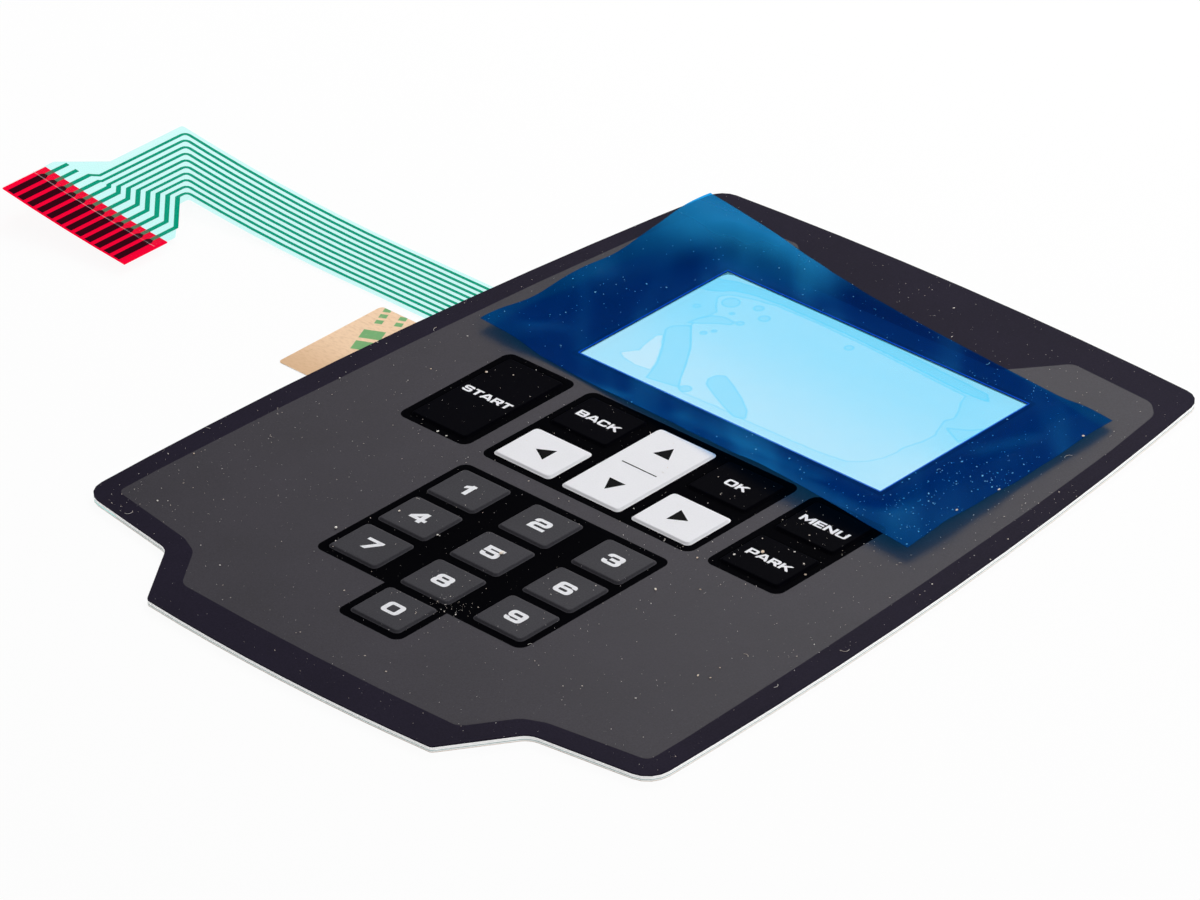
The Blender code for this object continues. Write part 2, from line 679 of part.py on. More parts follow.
def main():
    """Build the keypad from its liner up."""
    clear_scene()
    assembly = Assembly("membrane_keypad")
    kraft = make_material("kraft_liner", (0.83, 0.62, 0.38), 0.75)
    adhesive = make_material("acrylic_adhesive", (0.85, 0.85, 0.80), 0.35)
    circuit = make_material("circuit_polyester", (0.62, 0.95, 0.90), 0.30)
    clear = make_material("clear_polyester", (0.80, 0.97, 0.94), 0.20, alpha=0.4)
    ink = make_material("track_ink", (0.0, 0.28, 0.18), 0.45)
    red = make_material("red_stiffener", (0.90, 0.0, 0.03), 0.35)
    steel = make_material("dome_steel", (0.60, 0.59, 0.57), 0.30, metallic=1.0)
    face = make_material("printed_polyester", (0.06, 0.058, 0.068), 0.55)
    blue = make_material("blue_film", (0.02, 0.25, 0.80), 0.15, alpha=0.6)

    add_release_liner(assembly, kraft)
    die_cut_film(assembly, "rear_adhesive", [pad_outline(), window_aperture()], REAR_ADHESIVE_Z,
                 REAR_ADHESIVE_THICKNESS, adhesive)
    add_circuit_film(assembly, circuit)
    add_conductors(assembly, ink)
    add_tail_cover(assembly, clear)
    add_stiffener(assembly, red)
    add_dome_spacer(assembly, clear)
    add_domes(assembly, steel)
    add_overlay_adhesive(assembly, adhesive)
    add_graphic_overlay(assembly, face)
    add_protective_film(assembly, blue)


main()
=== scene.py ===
"""Looks of the membrane keypad: its printed face, its legends, the blue film over its window and its tail.

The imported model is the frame. X runs across the face, Y up it and Z out of it, and the liner lies on Z = 0.
"""

import logging
import math
import random
from dataclasses import dataclass
from enum import Enum
from typing import Any, Iterable, Optional, Sequence, Union

import bmesh
import bpy
from bmesh.types import BMEdge, BMesh, BMFace, BMVert
from bpy.types import Material, Mesh, Node, NodeSocket, Object
from mathutils import Matrix, Vector, geometry, noise
from mathutils.bvhtree import BVHTree


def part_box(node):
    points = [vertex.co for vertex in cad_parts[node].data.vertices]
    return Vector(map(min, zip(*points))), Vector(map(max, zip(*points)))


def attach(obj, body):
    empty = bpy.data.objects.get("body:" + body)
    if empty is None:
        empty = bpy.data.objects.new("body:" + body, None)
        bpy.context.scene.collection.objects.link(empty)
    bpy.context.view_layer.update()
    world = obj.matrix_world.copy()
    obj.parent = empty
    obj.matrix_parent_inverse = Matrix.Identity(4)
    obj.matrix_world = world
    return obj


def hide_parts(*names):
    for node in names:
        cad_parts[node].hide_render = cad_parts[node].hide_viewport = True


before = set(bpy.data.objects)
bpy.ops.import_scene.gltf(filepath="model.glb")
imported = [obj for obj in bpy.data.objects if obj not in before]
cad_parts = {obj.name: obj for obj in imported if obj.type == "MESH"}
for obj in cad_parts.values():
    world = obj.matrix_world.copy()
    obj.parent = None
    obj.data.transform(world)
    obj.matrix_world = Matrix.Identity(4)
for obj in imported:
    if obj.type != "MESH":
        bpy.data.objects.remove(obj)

LOG = logging.getLogger("keypad")
MM = 0.001
# The display's window in the face, in millimetres: its size, and how far up its centre is.
WINDOW_SIZE = (70.8, 38.1)
WINDOW_Y = 41.5
# Distance given to places that are far from a shape, in millimetres.
FAR = 99.0
# Depth of the face's fine matt texture.
MATT_DEPTH = 0.012 * MM
# Specular level of a finish that states none.
PLAIN_GLOSS = 0.3
# Corners of a box round its centre, anticlockwise from the lower left.
BOX_CORNERS = ((-1, -1), (1, -1), (1, 1), (-1, 1))
Colour = tuple[float, float, float]
Point = tuple[float, float]


def shade(red: int, green: int, blue: int) -> Colour:
    """Linear colour of a screen colour.

    Args:
        red: Red, 0 to 255.
        green: Green, 0 to 255.
        blue: Blue, 0 to 255.

    Returns:
        The colour as a shader takes it.
    """
    parts = (value / 255 for value in (red, green, blue))
    return tuple(part / 12.92 if part <= 0.04045 else ((part + 0.055) / 1.055) ** 2.4 for part in parts)


class Value:
    """A number that varies over a surface, for use in sums."""

    def __init__(self, paint: "Paint", socket: NodeSocket) -> None:
        """Wrap one output socket."""
        self.paint = paint
        self.socket = socket

    def _math(self, operation: str, *terms: Any) -> "Value":
        """Value of a Math node."""
        node = self.paint.node("ShaderNodeMath", {"operation": operation}, dict(enumerate(terms)))
        return Value(self.paint, node.outputs[0])

    def __add__(self, other: "Number") -> "Value":
        """Sum."""
        return self._math("ADD", self, other)

    def __sub__(self, other: "Number") -> "Value":
        """Difference."""
        return self._math("SUBTRACT", self, other)

    def __rsub__(self, other: "Number") -> "Value":
        """Difference from a number."""
        return self._math("SUBTRACT", other, self)

    def __mul__(self, other: "Number") -> "Value":
        """Product."""
        return self._math("MULTIPLY", self, other)

    def __truediv__(self, other: "Number") -> "Value":
        """Quotient."""
        return self._math("DIVIDE", self, other)

    __radd__ = __add__
    __rmul__ = __mul__

    def size(self) -> "Value":
        """The number without its sign."""
        return self._math("ABSOLUTE", self)

    def least(self, other: "Number") -> "Value":
        """The smaller of two."""
        return self._math("MINIMUM", self, other)

    def most(self, other: "Number") -> "Value":
        """The larger of two."""
        return self._math("MAXIMUM", self, other)

    def root(self) -> "Value":
        """Square root."""
        return self._math("SQRT", self)

    def remainder(self, step: float) -> "Value":
        """What is left over each whole step, never below 0."""
        return self._math("FLOORED_MODULO", self, step)

    def fade(self, start: float, end: float) -> "Value":
        """Smooth step of the value.

        Args:
            start: Where it is still 0.
            end: Where it reaches 1, above start or below it.

        Returns:
            The step, from 0 to 1.
        """
        low, high = min(start, end), max(start, end)
        settings = {"interpolation_type": "SMOOTHSTEP"}
        inputs = {"Value": self, "From Min": low, "From Max": high}
        rising = Value(self.paint, self.paint.node("ShaderNodeMapRange", settings, inputs).outputs[0])
        return rising if start < end else 1 - rising


Number = Union[Value, float]


class Paint:
    """The node tree of a material or of the world."""

    def __init__(self, name: str, owners: Any = None) -> None:
        """Start an empty tree.

        Args:
            name: Name of the material or world that holds it.
            owners: The collection that makes it, if not the materials.
        """
        self.owner = (bpy.data.materials if owners is None else owners).new(name)
        self.owner.use_nodes = True
        self.tree = self.owner.node_tree
        self.tree.nodes.clear()

    def node(self, kind: str, settings: Optional[dict[str, Any]] = None,
             inputs: Optional[dict[Any, Any]] = None) -> Node:
        """Add a node.

        Args:
            kind: The node's type.
            settings: Its properties, set first.
            inputs: Values, colours or links of its sockets, by name or place.

        Returns:
            The node.
        """
        node = self.tree.nodes.new(kind)
        for name, setting in (settings or {}).items():
            setattr(node, name, setting)
        for name, value in (inputs or {}).items():
            socket = node.inputs[name]
            if isinstance(value, Value):
                self.tree.links.new(value.socket, socket)
            elif isinstance(value, NodeSocket):
                self.tree.links.new(value, socket)
            elif socket.type == "RGBA":
                socket.default_value = (*value, 1.0)
            else:
                socket.default_value = value
        return node

    def place(self) -> tuple[Value, Value, Value]:
        """The place on the object.

        Returns:
            Its x, y and z in millimetres.
        """
        coordinates = self.node("ShaderNodeTexCoord").outputs["Object"]
        split = self.node("ShaderNodeSeparateXYZ", {}, {0: coordinates})
        return tuple(Value(self, output) * (1 / MM) for output in split.outputs)

    def stretched(self, per_mm: Sequence[float], shift: float = 0.0) -> NodeSocket:
        """Object coordinates in pattern units.

        Args:
            per_mm: Pattern units per millimetre along each axis.
            shift: Moves the pattern, so that two of them differ.

        Returns:
            The coordinates.
        """
        coordinates = self.node("ShaderNodeTexCoord").outputs["Object"]
        scale = [value / MM for value in per_mm]
        inputs = {"Vector": coordinates, "Location": (shift, shift * 1.7, shift * 2.3), "Scale": scale}
        return self.node("ShaderNodeMapping", {}, inputs).outputs[0]

    def cloud(self, per_mm: float, detail: float = 2.0, shift: float = 0.0,
              stretch: Sequence[float] = (1, 1, 1)) -> Value:
        """Smooth noise from 0 to 1.

        Args:
            per_mm: Pattern units per millimetre.
            detail: Octaves.
            shift: Moves the pattern, so that two of them differ.
            stretch: Factor of per_mm along each axis.

        Returns:
            The noise.
        """
        return self.noise(self.stretched([per_mm * value for value in stretch], shift), detail)

    def noise(self, vector: NodeSocket, detail: float = 2.0) -> Value:
        """Smooth noise from 0 to 1 over coordinates in pattern units."""
        inputs = {"Vector": vector, "Scale": 1.0, "Detail": detail}
        return Value(self, self.node("ShaderNodeTexNoise", {}, inputs).outputs[0])

    def streaks(self, across: Value, along: Value) -> Value:
        """Smooth noise from 0 to 1 over two directions of one's own, given in pattern units."""
        return self.noise(self.node("ShaderNodeCombineXYZ", {}, {0: across, 1: along}).outputs[0])

    def measured(self, name: str) -> Value:
        """A number that the piece's mesh carries at each of its points."""
        return Value(self, self.node("ShaderNodeAttribute", {"attribute_name": name}).outputs["Fac"])

    def grains(self, per_mm: float, radius: float, share: float, shift: float = 0.0) -> Value:
        """Scattered round specks.

        Args:
            per_mm: Cells per millimetre, each with a speck or none.
            radius: A speck's radius in cells.
            share: Share of the cells that have one.
            shift: Moves the pattern.

        Returns:
            1 on a speck and 0 elsewhere.
        """
        vector = self.stretched([per_mm] * 3, shift)
        cells = self.node("ShaderNodeTexVoronoi", {}, {"Vector": vector, "Scale": 1.0})
        draw = Value(self, self.node("ShaderNodeSeparateColor", {}, {0: cells.outputs["Color"]}).outputs[0])
        near = Value(self, cells.outputs["Distance"]).fade(radius, radius * 0.5)
        return near * draw.fade(1 - share, 1 - share * 0.6)

    def blend(self, first: Any, second: Any, share: Number) -> NodeSocket:
        """Colour between two colours."""
        inputs = {0: share, 6: first, 7: second}
        return self.node("ShaderNodeMix", {"data_type": "RGBA"}, inputs).outputs[2]

    def relief(self, height: Value, depth: float) -> NodeSocket:
        """Normal of a surface with this relief, whose full height is depth."""
        inputs = {"Height": height, "Distance": depth, "Strength": 1.0}
        return self.node("ShaderNodeBump", {}, inputs).outputs[0]

    def matt(self) -> NodeSocket:
        """Normal of the face's fine matt texture."""
        return self.relief(self.cloud(9.0, 3.0, 2.0), MATT_DEPTH)

    def seen(self) -> Value:
        """Tell what the eye sees from what lights the scene.

        Returns:
            1 for rays from the camera and for those that gloss or a clear film passes on, and 0 otherwise.
        """
        rays = self.node("ShaderNodeLightPath").outputs
        seen = Value(self, rays["Is Camera Ray"])
        for name in ("Is Glossy Ray", "Is Transmission Ray"):
            seen = seen.most(Value(self, rays[name]))
        return seen

    def principled(self, **inputs: Any) -> NodeSocket:
        """Principled shader.

        Args:
            inputs: Its inputs, with an underscore for each space in a socket's name.

        Returns:
            The shader.
        """
        named = {"Specular IOR Level": PLAIN_GLOSS}
        named.update({name.replace("_", " "): value for name, value in inputs.items()})
        return self.node("ShaderNodeBsdfPrincipled", {}, named).outputs[0]

    def clear(self, colour: Colour) -> NodeSocket:
        """Transparent shader that tints what is behind it."""
        return self.node("ShaderNodeBsdfTransparent", {}, {0: colour}).outputs[0]

    def between(self, first: NodeSocket, second: NodeSocket, share: Number) -> NodeSocket:
        """Shader between two shaders."""
        return self.node("ShaderNodeMixShader", {}, {0: share, 1: first, 2: second}).outputs[0]

    def finish(self, surface: NodeSocket) -> Material:
        """End a material's tree with its surface."""
        self.node("ShaderNodeOutputMaterial", {}, {"Surface": surface})
        return self.owner


def box_distance(x: Value, y: Value, centre: Point, size: Point, radius: float) -> Value:
    """Distance from a rounded rectangle's edge, below 0 inside it, all in millimetres.

    Args:
        x: Place across.
        y: Place up.
        centre: The rectangle's centre.
        size: Its width and height.
        radius: Radius of its corners.

    Returns:
        The distance.
    """
    across = (x - centre[0]).size() - (size[0] / 2 - radius)
    up = (y - centre[1]).size() - (size[1] / 2 - radius)
    outside = across.most(0.0) * across.most(0.0) + up.most(0.0) * up.most(0.0)
    return outside.root() + across.most(up).least(0.0) - radius


def line_distance(x: Value, y: Value, start: Point, end: Point) -> Value:
    """Distance from a straight stroke, in millimetres.

    Args:
        x: Place across.
        y: Place up.
        start: One end of the stroke.
        end: Its other end.

    Returns:
        The distance.
    """
    run = Vector(end) - Vector(start)
    away_x, away_y = x - start[0], y - start[1]
    along = (away_x * run.x + away_y * run.y) / run.length_squared
    share = along.most(0.0).least(1.0)
    gap_x, gap_y = away_x - share * run.x, away_y - share * run.y
    return (gap_x * gap_x + gap_y * gap_y).root()


class Ink(Enum):
    """Fields of print on the face, each with its screen colour, its roughness and its gloss."""

    BORDER = ((32, 28, 42), 0.55, 0.010)
    FIELD = ((50, 47, 54), 0.50, 0.055)
    PANEL = ((1, 1, 3), 0.60, 0.002)
    FUNCTION_KEY = ((4, 4, 8), 0.50, 0.002)
    DIGIT_KEY = ((56, 55, 60), 0.50, 0.03)
    ARROW_KEY = ((240, 240, 244), 0.50, 0.05)
    WINDOW = ((255, 255, 255), 0.10, 0.2)


@dataclass(frozen=True)
class PrintedFilm:
    """Matt polyester with one ink printed on its rear: fine texture, faint mottling and white dust."""

    ink: Ink
    uneven: float = 0.22
    uneven_white: float = 0.03
    dust: Colour = shade(205, 200, 195)

    def material(self) -> Material:
        """Build the material.

        Returns:
            The material.
        """
        paint = Paint("print_" + self.ink.name.lower())
        colour, roughness, gloss = self.ink.value
        base = shade(*colour)
        mottle = paint.cloud(0.06, 3.0) * 0.4 + paint.cloud(3.6, 2.0, 4.0) * 0.6
        uneven = self.uneven_white if self.ink is Ink.ARROW_KEY else self.uneven
        light = tuple(part * (1 + uneven) for part in base)
        dark = tuple(part * (1 - uneven) for part in base)
        tone = paint.blend(dark, light, mottle.fade(0.25, 0.75))
        if self.ink is not Ink.ARROW_KEY:
            fine = paint.grains(1.0, 0.085, 0.15)
            finer = paint.grains(2.3, 0.12, 0.10, 3.0) * 0.5
            patches = paint.cloud(0.5, 1.0, 7.0).fade(0.25, 0.6)
            tone = paint.blend(tone, self.dust, fine.most(finer) * patches)
        surface = paint.principled(
            Base_Color=tone, Roughness=mottle * 0.08 + (roughness - 0.04), Normal=paint.matt(),
            Specular_IOR_Level=gloss)
        return paint.finish(surface)


@dataclass(frozen=True)
class WindowFilm:
    """Clear part of the face over the display's aperture."""

    tint: Colour = shade(254, 255, 255)
    dull: Colour = shade(225, 235, 235)
    bright: Colour = shade(245, 250, 250)
    veil: float = 0.004

    def material(self) -> Material:
        """Build the material.

        Returns:
            The material.
        """
        paint = Paint("print_window")
        streak = paint.cloud(0.25, 3.0, 1.0)
        tone = paint.blend(self.dull, self.bright, streak)
        gloss = paint.principled(Base_Color=tone, Roughness=0.08, Specular_IOR_Level=0.2)
        return paint.finish(paint.between(paint.clear(self.tint), gloss, streak * 0.012 + self.veil))


@dataclass(frozen=True)
class LegendInk:
    """Opaque print of one colour, a little uneven in tone."""

    name: str
    colour: Colour
    gloss: float = 0.1
    roughness: float = 0.5
    worn: float = 0.88

    def material(self) -> Material:
        """Build the material.

        Returns:
            The material.
        """
        paint = Paint(self.name)
        uneven = paint.cloud(1.5, 3.0)
        worn = tuple(part * self.worn for part in self.colour)
        tone = paint.blend(worn, self.colour, uneven.fade(0.2, 0.6))
        surface = paint.principled(
            Base_Color=tone, Roughness=self.roughness, Normal=paint.matt(), Specular_IOR_Level=self.gloss)
        return paint.finish(surface)


@dataclass(frozen=True)
class BlueFilm:
    """Glossy blue protective film, with air caught behind it at the window.

    Each point of its mesh carries its distance from the edge of each shape seen behind the film, in
    millimetres and below 0 inside the shape.
    """

    over_print: Colour = (0.08, 0.63, 0.95)
    azure: Colour = (0.42, 0.84, 1.0)
    pale: Colour = (0.77, 0.925, 1.0)
    pigment: Colour = shade(0, 80, 173)
    milky: Colour = shade(50, 184, 243)
    edge_blue: Colour = shade(0, 96, 235)
    spark: Colour = shade(92, 196, 245)
    # Each shape's name, and how pale it is at the window's upper and lower edge.
    airs: tuple[tuple[str, float, float], ...] = (
        ("wet", 0.50, 0.80), ("strip", 0.16, 0.16), ("lens", 0.80, 1.0), ("pocket", 0.36, 0.48))
    air_contrast: float = 0.22
    haze: float = 0.09
    milk_haze: float = 0.16
    sheen_haze: float = 0.03
    speck_haze: float = 0.45
    window_haze: float = 0.006
    line_haze: float = 0.55
    # Painted sheen along bends in the film: start, end, width and strength.
    bends: tuple[tuple[Point, Point, float, float], ...] = (
        ((-50.7, 67.5), (-22.0, 69.0), 11.0, 0.60), ((-6.0, 18.5), (24.0, 18.2), 4.5, 0.30),
        ((-32.0, 14.6), (-18.5, 16.2), 2.2, 0.30), ((39.5, 43.5), (44.0, 50.5), 4.0, 0.22),
        ((-54.3, 47.4), (-50.0, 44.0), 5.0, 0.18), ((-47.0, 22.0), (-43.0, 26.0), 3.0, 0.12),
    )

    def material(self) -> Material:
        """Build the material.

        Returns:
            The material.
        """
        paint = Paint("blue_film")
        x, y, z = paint.place()
        edge = box_distance(x, y, (0.0, WINDOW_Y), WINDOW_SIZE, 0.1)
        window = edge.fade(0.10, -0.10)
        seen = paint.between(paint.clear(self.azure), paint.clear(self.pale), self.paleness(paint, x, y))
        seen = paint.between(paint.clear(self.over_print), seen, window)
        # Painted sheen: pale streaks, the lifted corner, a glow just outside the window's edge and the bends
        # lighten the film's colour and thicken its haze.
        sheen = paint.streaks((x + y) * 0.055, (x - y) * 0.014)
        lifted = z.fade(2.0, 4.8)
        pale_share = sheen.fade(0.45, 0.75) * 0.40 + lifted * 0.6 + edge.fade(2.5, 0.0) * 0.10
        for start, end, width, strength in self.bends:
            pale_share = pale_share + line_distance(x, y, start, end).fade(width, 0.0) * strength
        specks = paint.grains(0.8, 0.10, 0.20, 6.0).most(paint.grains(1.9, 0.12, 0.14, 9.0) * 0.6)
        specks = specks * (x.fade(20.0, 44.0) * 0.6 + 0.4)
        tone = paint.blend(self.pigment, self.milky, pale_share)
        # Painted highlight: a thin bright blue line along the window's edge.
        line = edge.size().fade(0.22, 0.06)
        tone = paint.blend(paint.blend(tone, self.spark, specks), self.edge_blue, line)
        body = paint.principled(
            Base_Color=tone, Roughness=sheen * 0.12 + 0.16, Specular_IOR_Level=0.002,
            Normal=paint.relief(paint.cloud(0.5, 3.0, 7.0), 0.03 * MM))
        haze = pale_share * self.milk_haze + sheen.fade(0.3, 0.6) * self.sheen_haze + specks * self.speck_haze
        haze = (haze + self.haze) * (1 - window) + self.window_haze
        return paint.finish(paint.between(seen, body, haze.most(line * self.line_haze)))

    def paleness(self, paint: Paint, x: Value, y: Value) -> Value:
        """How pale the window looks through the film.

        Args:
            paint: The film's node tree.
            x: Place across.
            y: Place up.

        Returns:
            From 0, azure, to 1, nearly clear.
        """
        wobble = (paint.cloud(0.9, 2.0, 11.0) - 0.5) * 0.5
        low = y.fade(53.0, 25.0)
        tone = (paint.cloud(0.045, 2.0, 4.0) - 0.5) * 0.3 + 0.34 + low * 0.36 + x.fade(20.0, 30.0) * 0.08
        for name, high_tone, low_tone in self.airs:
            away = paint.measured(name) + wobble * (0.3 if name == "pocket" else 1.0)
            inside = away.fade(0.14, -0.14)
            tone = tone * (1 - inside) + inside * (low * (low_tone - high_tone) + high_tone)
            tone = tone - away.size().fade(0.30, 0.08) * self.air_contrast
        dots = paint.grains(0.16, 0.05, 0.5, 13.0)
        return (tone + (paint.cloud(0.3, 3.0, 6.0) - 0.5) * 0.08 - dots * 0.3).most(0.0)


@dataclass(frozen=True)
class TailFilm:
    """Translucent pale cyan polyester; the red stiffener glows through at the contact end."""

    stiffener_top: float
    tint: Colour = shade(234, 255, 254)
    flare_tint: Colour = shade(231, 255, 254)
    stiffener_tint: Colour = (0.99, 0.99, 0.99)
    body: Colour = shade(215, 255, 252)
    inside_body: Colour = shade(244, 246, 246)
    red: Colour = shade(255, 5, 50)
    worn_red: Colour = shade(255, 60, 62)
    veil: float = 0.012

    def material(self) -> Material:
        """Build the material.

        Returns:
            The material.
        """
        paint = Paint("circuit_film")
        x, y, _ = paint.place()
        drift = paint.cloud(0.09, 3.0)
        on_stiffener = y.fade(self.stiffener_top + 0.05, self.stiffener_top - 0.05) * x.fade(-110.0, -112.0)
        inside = x.fade(-58.0, -57.0)
        tone = paint.blend(self.body, self.inside_body, inside)
        tone = paint.blend(tone, self.red, on_stiffener)
        tone = paint.blend(tone, self.worn_red, on_stiffener * drift.fade(0.5, 0.8) * 0.35)
        body = paint.principled(
            Base_Color=tone, Roughness=drift * 0.1 + 0.24, Specular_IOR_Level=0.01,
            Normal=paint.relief(paint.cloud(1.4, 2.0), 0.004 * MM))
        flare = y.fade(15.0, 8.0) * x.fade(-112.0, -116.0) * 0.8 + drift * 0.2
        clear = paint.between(paint.clear(self.tint), paint.clear(self.flare_tint), flare)
        clear = paint.between(clear, paint.clear(self.stiffener_tint), on_stiffener)
        veil = on_stiffener * 0.02 + inside * 0.6 + self.veil
        return paint.finish(paint.between(clear, body, veil))


@dataclass(frozen=True)
class ClearFilm:
    """Clear film whose cut end catches the light."""

    name: str
    end_y: float
    tint: Colour = shade(254, 255, 255)
    body: Colour = shade(232, 252, 248)
    edge_tone: Colour = shade(255, 190, 196)
    veil: float = 0.004

    def material(self) -> Material:
        """Build the material.

        Returns:
            The material.
        """
        paint = Paint(self.name)
        _, y, _ = paint.place()
        drift = paint.cloud(0.2, 2.0)
        # Painted highlight: a pale line along the film's cut end.
        edge = (y - self.end_y).size().fade(0.16, 0.06) * drift.fade(0.25, 0.5)
        tone = paint.blend(self.body, self.edge_tone, edge)
        body = paint.principled(Base_Color=tone, Roughness=drift * 0.1 + 0.15, Specular_IOR_Level=0.05)
        return paint.finish(paint.between(paint.clear(self.tint), body, edge * 0.35 + self.veil))


@dataclass(frozen=True)
class ConductorInk:
    """Green conductive ink, dulled over the stiffener, with black carbon on the bare contacts."""

    stiffener_top: float
    contact_top: float
    green: Colour = shade(0, 163, 129)
    dulled: Colour = shade(94, 126, 98)
    carbon: Colour = shade(52, 6, 20)
    scratched: Colour = shade(110, 24, 42)

    def material(self) -> Material:
        """Build the material.

        Returns:
            The material.
        """
        paint = Paint("track_ink")
        _, y, _ = paint.place()
        grain = paint.cloud(2.6, 3.0)
        green = paint.blend(tuple(part * 0.9 for part in self.green), self.green, grain.fade(0.3, 0.6))
        over_red = y.fade(self.stiffener_top + 0.06, self.stiffener_top - 0.06)
        bare = y.fade(self.contact_top + 0.04, self.contact_top - 0.04)
        scratches = paint.cloud(0.9, 3.0, 3.0, (5.0, 0.35, 1.0)).fade(0.62, 0.8)
        carbon = paint.blend(self.carbon, self.scratched, scratches * 0.5)
        tone = paint.blend(paint.blend(green, self.dulled, over_red), carbon, bare)
        surface = paint.principled(
            Base_Color=tone, Roughness=grain * 0.15 + 0.42, Specular_IOR_Level=0.002,
            Normal=paint.relief(grain, 0.004 * MM))
        return paint.finish(surface)


@dataclass(frozen=True)
class RedFilm:
    """Translucent red stiffener."""

    tint: Colour = (0.995, 0.035, 0.205)
    colour: Colour = shade(255, 5, 50)
    worn: Colour = shade(255, 56, 58)
    veil: float = 0.02

    def material(self) -> Material:
        """Build the material.

        Returns:
            The material.
        """
        paint = Paint("red_stiffener")
        rub = paint.cloud(0.5, 3.0, 0.0, (3.0, 0.6, 1.0))
        worn = rub.fade(0.5, 0.8)
        surface = paint.principled(
            Base_Color=paint.blend(self.colour, self.worn, worn * 0.5), Roughness=rub * 0.15 + 0.3,
            Specular_IOR_Level=0.01, Normal=paint.relief(paint.cloud(3.0, 2.0), 0.005 * MM))
        return paint.finish(paint.between(paint.clear(self.tint), surface, worn * 0.04 + self.veil))


@dataclass(frozen=True)
class KraftPaper:
    """Coated kraft liner: fibres, and plain green bars and marks printed at a slant near the tab's root."""

    paper: Colour = shade(254, 219, 184)
    shaded: Colour = shade(222, 182, 142)
    fibre: Colour = shade(212, 170, 130)
    cut_edge: Colour = shade(255, 251, 246)
    print_green: Colour = shade(112, 178, 116)
    slant: float = math.radians(25)
    bar_row: float = -60.3
    mark_rows: tuple[float, float] = (-60.7, -57.0)

    def material(self) -> Material:
        """Build the material.

        Returns:
            The material.
        """
        paint = Paint("kraft_liner")
        x, y, z = paint.place()
        pulp = paint.cloud(0.8, 5.0, 0.0, (1.0, 2.4, 1.0))
        flecks = paint.cloud(3.2, 2.0, 3.0, (0.4, 1.6, 1.0)).fade(0.62, 0.75)
        # Painted shade: the paper darkens below y = 2 mm.
        tone = paint.blend(self.paper, self.shaded, y.fade(2.0, -14.0) * 0.8)
        tone = paint.blend(tone, self.fibre, pulp.fade(0.4, 0.8) * 0.4 + flecks * 0.3)
        cosine, sine = math.cos(self.slant), math.sin(self.slant)
        across = x * cosine + y * sine
        along = y * cosine - x * sine
        bars = ((along - 27.0).remainder(4.0) - 2.0).size().fade(1.55, 1.40) * along.fade(35.2, 34.9)
        bars = bars * along.fade(26.6, 26.9) * (across - self.bar_row).size().fade(2.15, 2.0)
        marks = ((along - 36.5).remainder(2.1) - 1.05).size().fade(0.72, 0.58)
        rows = [(across - row).size().fade(0.80, 0.66) for row in self.mark_rows]
        marks = marks * rows[0].most(rows[1]) * along.fade(36.3, 36.5) * along.fade(43.0, 42.8)
        patchy = paint.cloud(1.2, 3.0, 8.0).fade(0.2, 0.45) * 0.3 + 0.65
        tone = paint.blend(tone, self.print_green, bars.most(marks) * patchy)
        # Painted light: the paper's cut sides, between its two faces, are made near white as if brightly lit.
        tone = paint.blend(tone, self.cut_edge, z.fade(0.01, 0.03) * z.fade(0.11, 0.09))
        surface = paint.principled(
            Base_Color=tone, Roughness=pulp * 0.15 + 0.6, Specular_IOR_Level=0.05,
            Normal=paint.relief(pulp, 0.02 * MM))
        return paint.finish(surface)


@dataclass(frozen=True)
class Adhesive:
    """Milky tacky film, given a painted glow in place of the table's white that would shine through it."""

    colour: Colour = shade(246, 246, 246)
    milky: Colour = shade(252, 252, 250)
    glow: float = 0.22

    def material(self) -> Material:
        """Build the material.

        Returns:
            The material.
        """
        paint = Paint("adhesive")
        pale_share = paint.cloud(0.7, 3.0)
        # Painted light: a faint emission makes the film glow.
        surface = paint.principled(
            Base_Color=paint.blend(self.colour, self.milky, pale_share), Roughness=pale_share * 0.2 + 0.3,
            Emission_Color=self.colour, Emission_Strength=self.glow)
        return paint.finish(surface)


@dataclass(frozen=True)
class SpringSteel:
    """Bright stamped steel of the snap domes, with fine rolling marks."""

    colour: Colour = shade(200, 199, 196)
    bright: Colour = shade(222, 221, 218)

    def material(self) -> Material:
        """Build the material.

        Returns:
            The material.
        """
        paint = Paint("dome_steel")
        rolled = paint.cloud(1.0, 3.0, 0.0, (12.0, 0.5, 1.0))
        surface = paint.principled(
            Base_Color=paint.blend(self.colour, self.bright, rolled), Metallic=1.0,
            Roughness=rolled * 0.2 + 0.22, Normal=paint.relief(rolled, 0.003 * MM), Specular_IOR_Level=0.5)
        return paint.finish(surface)


@dataclass(frozen=True)
class Lint:
    """Pale dust and lint."""

    name: str
    pale: Colour
    warm: Colour

    def material(self) -> Material:
        """Build the material.

        Returns:
            The material.
        """
        paint = Paint(self.name)
        mix = paint.cloud(0.6, 2.0).fade(0.4, 0.6)
        tone = paint.blend(self.pale, self.warm, mix)
        return paint.finish(paint.principled(Base_Color=tone, Roughness=mix * 0.1 + 0.8))


def link(name: str, mesh: Mesh, materials: Iterable[Material] = ()) -> Object:
    """Make an object of a mesh and let it ride on the keypad.

    Args:
        name: The piece's name.
        mesh: Its mesh, already in place.
        materials: Its materials.

    Returns:
        The object.
    """
    for material in materials:
        mesh.materials.append(material)
    piece = bpy.data.objects.new(name, mesh)
    bpy.context.scene.collection.objects.link(piece)
    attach(piece, "root")
    LOG.info("%s: %d faces", name, len(mesh.polygons))
    return piece


def mesh_of(shape: BMesh, name: str) -> Mesh:
    """Turn a bmesh into a mesh.

    Args:
        shape: The bmesh, which is freed.
        name: The mesh's name.

    Returns:
        The mesh.
    """
    mesh = bpy.data.meshes.new(name)
    shape.to_mesh(mesh)
    shape.free()
    return mesh


